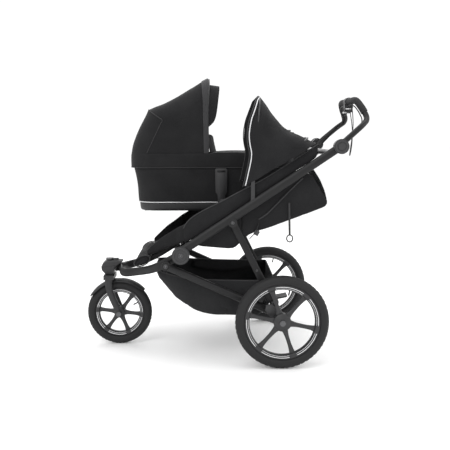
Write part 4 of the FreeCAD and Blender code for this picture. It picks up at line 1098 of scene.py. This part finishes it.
# ---------------------------------------------------------------- canopies
def arch_row(centre, turn, reach, foot, low, high, round_by, crown=0.0, belly=0.0):
    """One bow-shaped row: up a side from foot, round the top and down the other side."""
    x, z = centre
    c, s = math.cos(math.radians(turn)), math.sin(math.radians(turn))

    def at(out, y):
        return Vector((x + out * c, y, z + out * s))

    shoulder = reach - round_by
    start = Vector((foot[0], 0, foot[1]))
    width = high - low
    row = []
    for k in range(10):
        t = k / 10
        point = start.lerp(at(shoulder, 0), t)
        row.append(Vector((point.x, low + belly * math.sin(math.pi * t), point.z)))
    for k in range(8):
        a = math.pi / 2 * k / 8
        row.append(at(shoulder + round_by * math.sin(a), low + round_by * (1 - math.cos(a))))
    flat = width - 2 * round_by
    for k in range(13):
        t = k / 12
        row.append(at(reach + crown * math.sin(math.pi * t), low + round_by + flat * t))
    for point in reversed(row[:18]):
        row.append(Vector((point.x, low + high - point.y, point.z)))
    return row


def arch_rows(centre, stations, low, high, round_by, steps=5, crown=0.0):
    """Bow-shaped rows through stations of (turn, reach, foot x, foot z)."""
    path = line([Vector((turn, reach, fx)) for turn, reach, fx, fz in stations], steps)
    feet = line([Vector((0, 0, fz)) for turn, reach, fx, fz in stations], steps)
    return [arch_row(centre, place.x, place.y, (place.z, foot.z), low, high, round_by, crown)
            for place, foot in zip(path, feet)]


class STROLLER_OT_canopies(bpy.types.Operator):
    """The left seat's part-raised canopy with its piping, and the right seat's folded one"""
    bl_idname = "stroller.canopies"
    bl_label = "Canopies"

    def follow(self, row, edge):
        """Moves a row fore and aft to lie on an edge line of (x, z), lowest first."""
        out = []
        for point in row:
            x = edge[-1][0]
            for (ax, az), (bx, bz) in zip(edge, edge[1:]):
                if point.z <= bz:
                    x = ax + (bx - ax) * max(0.0, min(1.0, (point.z - az) / (bz - az)))
                    break
            out.append(Vector((x, point.y, point.z)))
        return out

    def between(self, keys, steps):
        """Rows smoothly filled in between key rows."""
        columns = [line([key[n] for key in keys], steps) for n in range(len(keys[0]))]
        return [[column[k] for column in columns] for k in range(len(columns[0]))]

    def execute(self, context):
        thick = settings().cloth_thickness
        hub = pivot("canopy_open")
        centre = (hub.x, hub.z)
        edge = [(81, 772), (88, 799), (102, 863), (110, 908), (101, 952), (97, 990), (106, 1051),
                (122, 1095), (138, 1141), (153, 1158)]
        hem_row = self.follow(arch_row(centre, 86, 338, (81, 772), -327, -17, 96, 2.0, -3.0), edge)
        keys = [hem_row]
        for turn, reach, fx, fz in ((78, 303, 118, 790), (71, 272, 160, 814), (62, 252, 202, 840),
                                    (54, 246, 240, 863), (46, 252, 282, 888), (39, 266, 322, 912),
                                    (34, 280, 362, 936), (30, 292, 384, 948), (26, 312, 398, 956)):
            keys.append(arch_row(centre, turn, reach, (fx, fz), -327, -17, 92, -5.0, -3.0))
        rows = self.between(keys, 5)
        slack = settings().wrinkle_depth
        shade = cloth("canopy_cloth", rows, thick, (slack, 13, 2), (slack * 0.4, 37, 6))
        finish_piece(shade, "canopy_cloth", None, "canopy_fabric", "canopy_cloth_left")
        outside = self.follow(arch_row(centre, 86, 335.5, (89, 777), -330.5, -13.5, 96, 2.0, -3.0),
                              [(x + 9, z) for x, z in edge])
        piping = tube("canopy_piping", spread(line(outside, 4), 120), settings().piping_radius * 1000, 10)
        finish_piece(piping, "reflective_piping", None, "reflective_piping")
        tape = tube("canopy_hem_tape", spread(line(hem_row, 4), 120), 2.2, 10)
        finish_piece(tape, "webbing", None, "webbing")
        for part in (shade, piping, tape):
            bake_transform(part)

        folded = []
        pleats = ((31.5, 290), (33, 276), (35, 291), (37, 274), (39, 290), (41, 276), (43, 286))
        for n, (turn, reach) in enumerate(pleats):
            folded.append((turn, reach, 180 + 24 * n, 838 + 10 * n))
        rows = arch_rows(centre, folded, 14, 318, 88, 3, 2.0)
        bundle = cloth("canopy_bundle", rows, thick * 1.6, (0.003, 24, 8))
        finish_piece(bundle, "canopy_cloth", "main_frame", "canopy_fabric", "canopy_folded_right")
        return {"FINISHED"}


# ---------------------------------------------------------------- bassinet
def ring(low, high, radius, z, inset=0.0, ends=0.0, count=15):
    """A rounded rectangle of points at one height; ends draws its two short ends further in."""
    x0, y0 = low[0] + inset + ends, low[1] + inset
    x1, y1 = high[0] - inset - ends, high[1] - inset
    r = radius - inset
    points = []
    corners = ((x1 - r, y1 - r, 0), (x0 + r, y1 - r, 90), (x0 + r, y0 + r, 180), (x1 - r, y0 + r, 270))
    for cx, cy, first in corners:
        for k in range(count):
            a = math.radians(first + 90 * k / (count - 1))
            points.append(Vector((cx + r * math.cos(a), cy + r * math.sin(a), z)))
    out = []
    for a, b in zip(points, points[1:] + points[:1]):
        out.append(a)
        pieces = max(1, round((b - a).length / 28))
        out += [a.lerp(b, k / pieces) for k in range(1, pieces)]
    return out


CORNER = 95  # millimetres, the rail's corner radius in plan


class STROLLER_OT_bassinet(bpy.types.Operator):
    """Tray, tub, rail, mattress, apron and the hood with its visor"""
    bl_idname = "stroller.bassinet"
    bl_label = "Bassinet"

    def execute(self, context):
        low, high = [Vector(c) * 1000 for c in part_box("bassinet_rail")]
        tub_low, tub_high = [Vector(c) * 1000 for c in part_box("bassinet_tub")]
        self.low = Vector((low.x, tub_low.y - 5, 0))
        self.high = Vector((high.x, tub_high.y + 5, 0))
        self.shells()
        self.cover()
        self.hood()
        return {"FINISHED"}

    def stack(self, levels):
        """Rows of a tapering wall through levels of (height, inset, further inset of the two ends)."""
        rows = [ring(self.low, self.high, CORNER, z, inset, ends) for z, inset, ends in levels]
        count = min(len(row) for row in rows)
        return [spread(row + row[:1], count + 1)[:-1] for row in rows]

    def wall(self, name, levels, thickness, *waves, rests_on, nodes=(), offset=0.0):
        """A fabric wall round the bassinet."""
        rows = self.stack(levels)
        obj = cloth(name, rows, thickness, *waves, offset=offset, ring=True)
        finish_piece(obj, "bassinet_cloth", "bassinet", "bassinet_fabric", *nodes)

    def shells(self):
        levels = [(629, 44, 26), (629.5, 22, 28), (632, 14, 30), (640, 10, 31), (655, 9, 31), (668, 8, 30),
                  (670, 9.5, 30)]
        tray = grid("tray_shell", self.stack(levels), ring=True, ends=True)
        soften(tray)
        apply(tray)
        finish_piece(tray, "moulded_plastic", "bassinet", "plastic_black", "bassinet_tray")
        for side, y in (("left", self.low.y + 60), ("right", self.high.y - 60)):
            feet = []
            for x in (-338, 250):
                feet.append(tube("f", [(x - 34, y, 630), (x + 34, y, 630)], 6, 14, flat=0.5))
            feet = join(feet[0], feet[1:])
            feet.name = "tray_feet_" + side
            finish_piece(feet, "grip_foam", "bassinet", "grip_foam")
        self.wall("tub_cloth", [(671, 9, 30), (676, 7.5, 30), (700, 6, 29), (745, 5, 27), (790, 4, 22),
                                (822, 4, 14), (836, 6, 9)],
                  0.003, (0.0022, 9, 12), offset=1.0, rests_on=["bassinet_rail"], nodes=["bassinet_tub"])
        rows = self.stack([(905, 12, 2), (860, 13, 12), (760, 14, 26), (713, 16, 30)])
        lining = grid("tub_lining", rows, ring=True)
        thicken(lining, 0.002)
        apply(lining)
        finish_piece(lining, "lining_cloth", "bassinet", "bassinet_fabric")
        self.wall("rail_cloth", [(833, 2, 0), (836, -0.5, 0), (842, -1.5, 0), (870, -2.5, 0), (896, -1.5, 0),
                                 (902, 0, 0), (905, 4, 0), (905, 11, 0)],
                  0.0025, (0.0012, 12, 13), offset=-1, rests_on=["bassinet_tub"], nodes=["bassinet_rail"])
        piping = settings().piping_radius * 1000
        loop = ring(self.low, self.high, CORNER, 671.5, 5.5, 29)
        finish_piece(tube("tub_piping", loop, piping, 10, closed=True), "reflective_piping", "bassinet",
                     "reflective_piping")
        loop = ring(self.low, self.high, CORNER, 836, -1)
        finish_piece(tube("rail_seam", loop, 1.7, 8, closed=True), "webbing", "bassinet", "webbing")
        levels = [(673, 20, 30), (675, 17, 30), (690, 16, 30), (706, 17, 30), (711, 22, 30), (712, 44, 30)]
        mattress = grid("mattress_pad", self.stack(levels), ring=True, ends=True)
        soften(mattress)
        apply(mattress)
        wave(mattress, 0.0016, 12, 14)
        finish_piece(mattress, "lining_cloth", "bassinet", "bassinet_fabric", "bassinet_mattress")

    def cover(self):
        """The apron over the foot end and its raised wind flap."""
        x0, x1 = -46, self.high.x - 1
        y0, y1 = self.low.y + 1, self.high.y - 1
        corner = CORNER - 1
        rows = []
        for k in range(25):
            t = k / 24
            x = x0 + (x1 - x0) * t
            past = max(0.0, x - (x1 - corner)) / corner
            inset = corner * (1 - math.sqrt(max(0.0, 1 - past * past)))
            row = []
            for m in range(17):
                s = m / 16
                y = y0 + inset + (y1 - y0 - 2 * inset) * s
                arch = 7 * math.sin(math.pi * s) * math.sin(math.pi * min(1, 0.15 + t * 0.85))
                row.append(Vector((x, y, 906 + arch)))
            rows.append(row)
        apron = cloth("apron_cloth", rows, 0.002, (0.003, 17, 15, (0, 0, 1)))
        finish_piece(apron, "bassinet_cloth", "bassinet", "bassinet_fabric", "bassinet_apron")
        rows = []
        for k in range(9):
            t = k / 8
            row = []
            for m in range(17):
                s = m / 16
                y = y0 + 2 + (y1 - y0 - 4) * s
                tip = 84 + 6 * math.cos(math.tau * s)
                row.append(Vector((-29 - 28 * abs(2 * s - 1) ** 3 - 15 * t, y, 905 + tip * t)))
            rows.append(row)
        flap = cloth("apron_wind_flap", rows, 0.0022, (0.004, 18, 16))
        finish_piece(flap, "bassinet_cloth", "bassinet", "bassinet_fabric")

    def hood(self):
        """The hood's shell, hem band, end, back seam and visor."""
        hub = pivot("hood_open")
        centre = (hub.x, hub.z)
        low, high = self.low.y + 3, self.high.y - 3
        stations = [(89.5, 343, -66, 902), (96, 325, -92, 902), (104, 308, -130, 902), (118, 294, -200, 902),
                    (131, 303, -276, 902), (140, 325, -330, 902), (145, 341, -352, 902)]
        thick = settings().cloth_thickness
        rows = arch_rows(centre, stations, low, high, 88, 5, 3.0)
        shell = cloth("hood_shell", rows, thick * 1.3, (settings().wrinkle_depth * 0.8, 10, 21))
        finish_piece(shell, "bassinet_cloth", None, "canopy_fabric", "hood_cloth")
        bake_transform(shell)
        # the band lies 4 mm outside the shell and tucks in under the hem
        outer = [(turn, reach + 4, fx, fz) for turn, reach, fx, fz in stations]
        rows = arch_rows(centre, outer, low - 4, high + 4, 90, 5, 3.0)[:5]
        edge = [p + Vector((4, 0, 0)) for p in rows[0]]
        tuck = [p.lerp(Vector((-66, 158.5, 1060)), 0.06) + Vector((5, 0, 0)) for p in rows[0]]
        strip = cloth("hood_hem_band", [tuck, edge] + rows, thick)
        finish_piece(strip, "strip_cloth", "hood_bow", "canopy_fabric")
        end_stations = [(145, 342, -356, 902), (152, 337, -355, 902), (160, 340, -354, 901),
                        (168, 348, -353, 900), (176, 358, -352, 899), (183.5, 366, -351, 892)]
        rows = arch_rows(centre, end_stations, low, high, 90, 4, 1.0)
        back = cloth("hood_end", rows, thick * 1.3, (0.002, 12, 22))
        finish_piece(back, "bassinet_cloth", "bassinet", "canopy_fabric", "hood_end_cloth")
        seam = arch_row(centre, 145, 343, (-354, 906), low - 1, high + 1, 89, 3.0)
        seam = tube("hood_back_seam", spread(line(seam, 3), 110), 2.0, 8)
        finish_piece(seam, "webbing", "bassinet", "webbing")
        # the visor hangs inside the hem and narrows down each side
        inside = arch_row(centre, 89.6, 316, (-64, 905), low + 3, high - 3, 76, 3.0)
        rows = []
        for k in range(7):
            t = k / 6
            row = []
            for p in inside:
                tall = max(0.0, min(1.0, (p.z - 1034) / 180))
                row.append(p + Vector((3 + 56 * tall ** 0.28 * t, 0, -8 * t * tall)))
            rows.append(row)
        visor = cloth("hood_visor_cloth", rows, thick * 1.2)
        finish_piece(visor, "canopy_cloth", "hood_bow", "canopy_fabric", "hood_visor")


# ---------------------------------------------------------------- basket
class STROLLER_OT_basket(bpy.types.Operator):
    """The storage basket, its mesh panels, rim binding and front strap"""
    bl_idname = "stroller.basket"
    bl_label = "Basket"

    def execute(self, context):
        profile = [(-308, 384, 386), (-300, 366, 383), (-286, 340, 380), (-250, 305, 374), (-212, 268, 368),
                   (-165, 238, 362), (-119, 213, 358), (-46, 195, 355), (20, 190, 353), (65, 188, 352),
                   (120, 188, 351), (157, 191, 351), (190, 222, 350), (214, 262, 351), (226, 320, 352)]
        half = [120, 138, 160, 198, 222, 236, 240, 241, 241, 241, 241, 240, 236, 230, 224]
        bottoms = spread(line([(x, z, top) for x, z, top in profile], 5), 60)
        halves = spread(line([(x, h, 0) for (x, z, top), h in zip(profile, half)], 5), 60)
        rows = []
        for place, wide in zip(bottoms, halves):
            x, floor, top = place
            y = wide.y
            row = []
            for k in range(13):
                t = k / 12
                bow = 4 * math.sin(math.pi * t)
                row.append(Vector((x, -y - bow + 22 * t ** 3, top + (floor - top) * t)))
            for k in range(1, 16):
                t = k / 16
                row.append(Vector((x, (-y + 22) * (1 - 2 * t), floor - 4 * math.sin(math.pi * t))))
            for k in range(13):
                t = 1 - k / 12
                bow = 4 * math.sin(math.pi * t)
                row.append(Vector((x, y + bow - 22 * t ** 3, top + (floor - top) * t)))
            rows.append(row)
        for n in (0, -1):
            level = rows[n][0].z
            rows[n] = [Vector((p.x, p.y, max(p.z, level - 3))) for p in rows[n]]
        bag = cloth("basket_bag", rows, 0.0022, (0.004, 9, 31), (0.0015, 30, 32))
        finish_piece(bag, "basket_cloth", None, "basket_fabric", "basket", "basket_nose")
        rim_line = [r[0] for r in rows] + [r[-1] for r in reversed(rows)]
        binding = tube("basket_binding", spread(rim_line + rim_line[:1], 200)[:-1], 3.2, 10, closed=True)
        finish_piece(binding, "webbing", None, "webbing")
        for part in (bag, binding):
            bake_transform(part)
        for side, sign in SIDES:
            rows = []
            for k in range(15):
                t = k / 14
                x = -150 + 330 * t
                tall = 28 + 26 * math.sin(math.pi * t)
                rows.append([Vector((x, sign * (236 - 1.5 * m), 352 - tall * m / 4)) for m in range(5)])
            mesh = grid("basket_mesh_" + side, rows)
            thicken(mesh, 0.0012)
            apply(mesh)
            finish_piece(mesh, "mesh_cloth", "rear_chassis", "basket_fabric")
            strap = tube("basket_strap_" + side, [(-304, sign * 118, 386), (-318, sign * 128, 384),
                                                  (-332, sign * 150, 382)], 7, 12, flat=0.2)
            finish_piece(strap, "webbing", "front_frame", "webbing")
        return {"FINISHED"}


# ---------------------------------------------------------------- stage
class STROLLER_OT_stage(bpy.types.Operator):
    """Pale floor, soft studio light and the camera"""
    bl_idname = "stroller.stage"
    bl_label = "Stage"

    def execute(self, context):
        reach = 60000
        corners = [(-reach, -reach, 0), (reach, -reach, 0), (reach, reach, 0), (-reach, reach, 0)]
        floor = piece("floor", corners, [(0, 1, 2, 3)])
        material = bpy.data.materials.new("floor_paper")
        material.use_nodes = True
        shader = material.node_tree.nodes["Principled BSDF"]
        shader.inputs["Base Color"].default_value = (0.97, 0.97, 0.97, 1)
        shader.inputs["Roughness"].default_value = 0.9
        floor.data.materials.append(material)
        world = bpy.data.worlds.new("studio")
        world.use_nodes = True
        world.node_tree.nodes["Background"].inputs[0].default_value = (1, 1, 1, 1)
        world.node_tree.nodes["Background"].inputs[1].default_value = 1.06
        context.scene.world = world
        for name, place, size, power in (
                ("key_light", (-1.6, -2.6, 3.2), 2.4, 48), ("top_light", (0.3, 0.4, 3.6), 3.0, 40),
                ("side_light", (2.8, -1.2, 1.8), 2.0, 18), ("back_light", (0.0, 3.0, 2.2), 2.4, 24)):
            data = bpy.data.lights.new(name, "AREA")
            data.size = size
            data.energy = power
            light = bpy.data.objects.new(name, data)
            light.location = place
            toward = Vector((0, 0, 0.6)) - Vector(place)
            light.rotation_euler = toward.to_track_quat("-Z", "Y").to_euler()
            context.collection.objects.link(light)
        data = bpy.data.cameras.new("camera")
        data.sensor_width = 36
        data.lens = 53.35
        data.shift_y = -0.08
        data.clip_end = 200
        camera = bpy.data.objects.new("camera", data)
        camera.location = (-0.0608, -3.1316, 0.9938)
        camera.rotation_euler = (math.radians(90) - 0.082, 0.0006, -0.0237)
        context.collection.objects.link(camera)
        context.scene.camera = camera
        context.scene.view_settings.view_transform = "Standard"
        return {"FINISHED"}


STEPS = ("stage", "handlebar", "wheels", "frame_details", "seats", "canopies", "bassinet", "basket")


class STROLLER_PT_panel(bpy.types.Panel):
    """The stroller's pieces"""
    bl_label = "Jogging stroller"
    bl_idname = "STROLLER_PT_panel"
    bl_space_type = "VIEW_3D"
    bl_region_type = "UI"
    bl_category = "Stroller"

    def draw(self, context):
        for name in ("cloth_thickness", "piping_radius", "wrinkle_depth", "tread_depth", "fabric_colour"):
            self.layout.prop(context.scene.stroller, name)
        for step in STEPS:
            self.layout.operator("stroller." + step)


CLASSES = (StrollerSettings, STROLLER_OT_stage, STROLLER_OT_handlebar, STROLLER_OT_wheels,
           STROLLER_OT_frame_details, STROLLER_OT_seats, STROLLER_OT_canopies, STROLLER_OT_bassinet,
           STROLLER_OT_basket, STROLLER_PT_panel)


def register():
    for cls in CLASSES:
        bpy.utils.register_class(cls)
    bpy.types.Scene.stroller = bpy.props.PointerProperty(type=StrollerSettings)


def unregister():
    del bpy.types.Scene.stroller
    for cls in reversed(CLASSES):
        bpy.utils.unregister_class(cls)


def main():
    """Builds everything in order."""
    random.seed(7)
    register()
    make_materials()
    for step in STEPS:
        getattr(bpy.ops.stroller, step)()


if __name__ == "__main__":
    main()
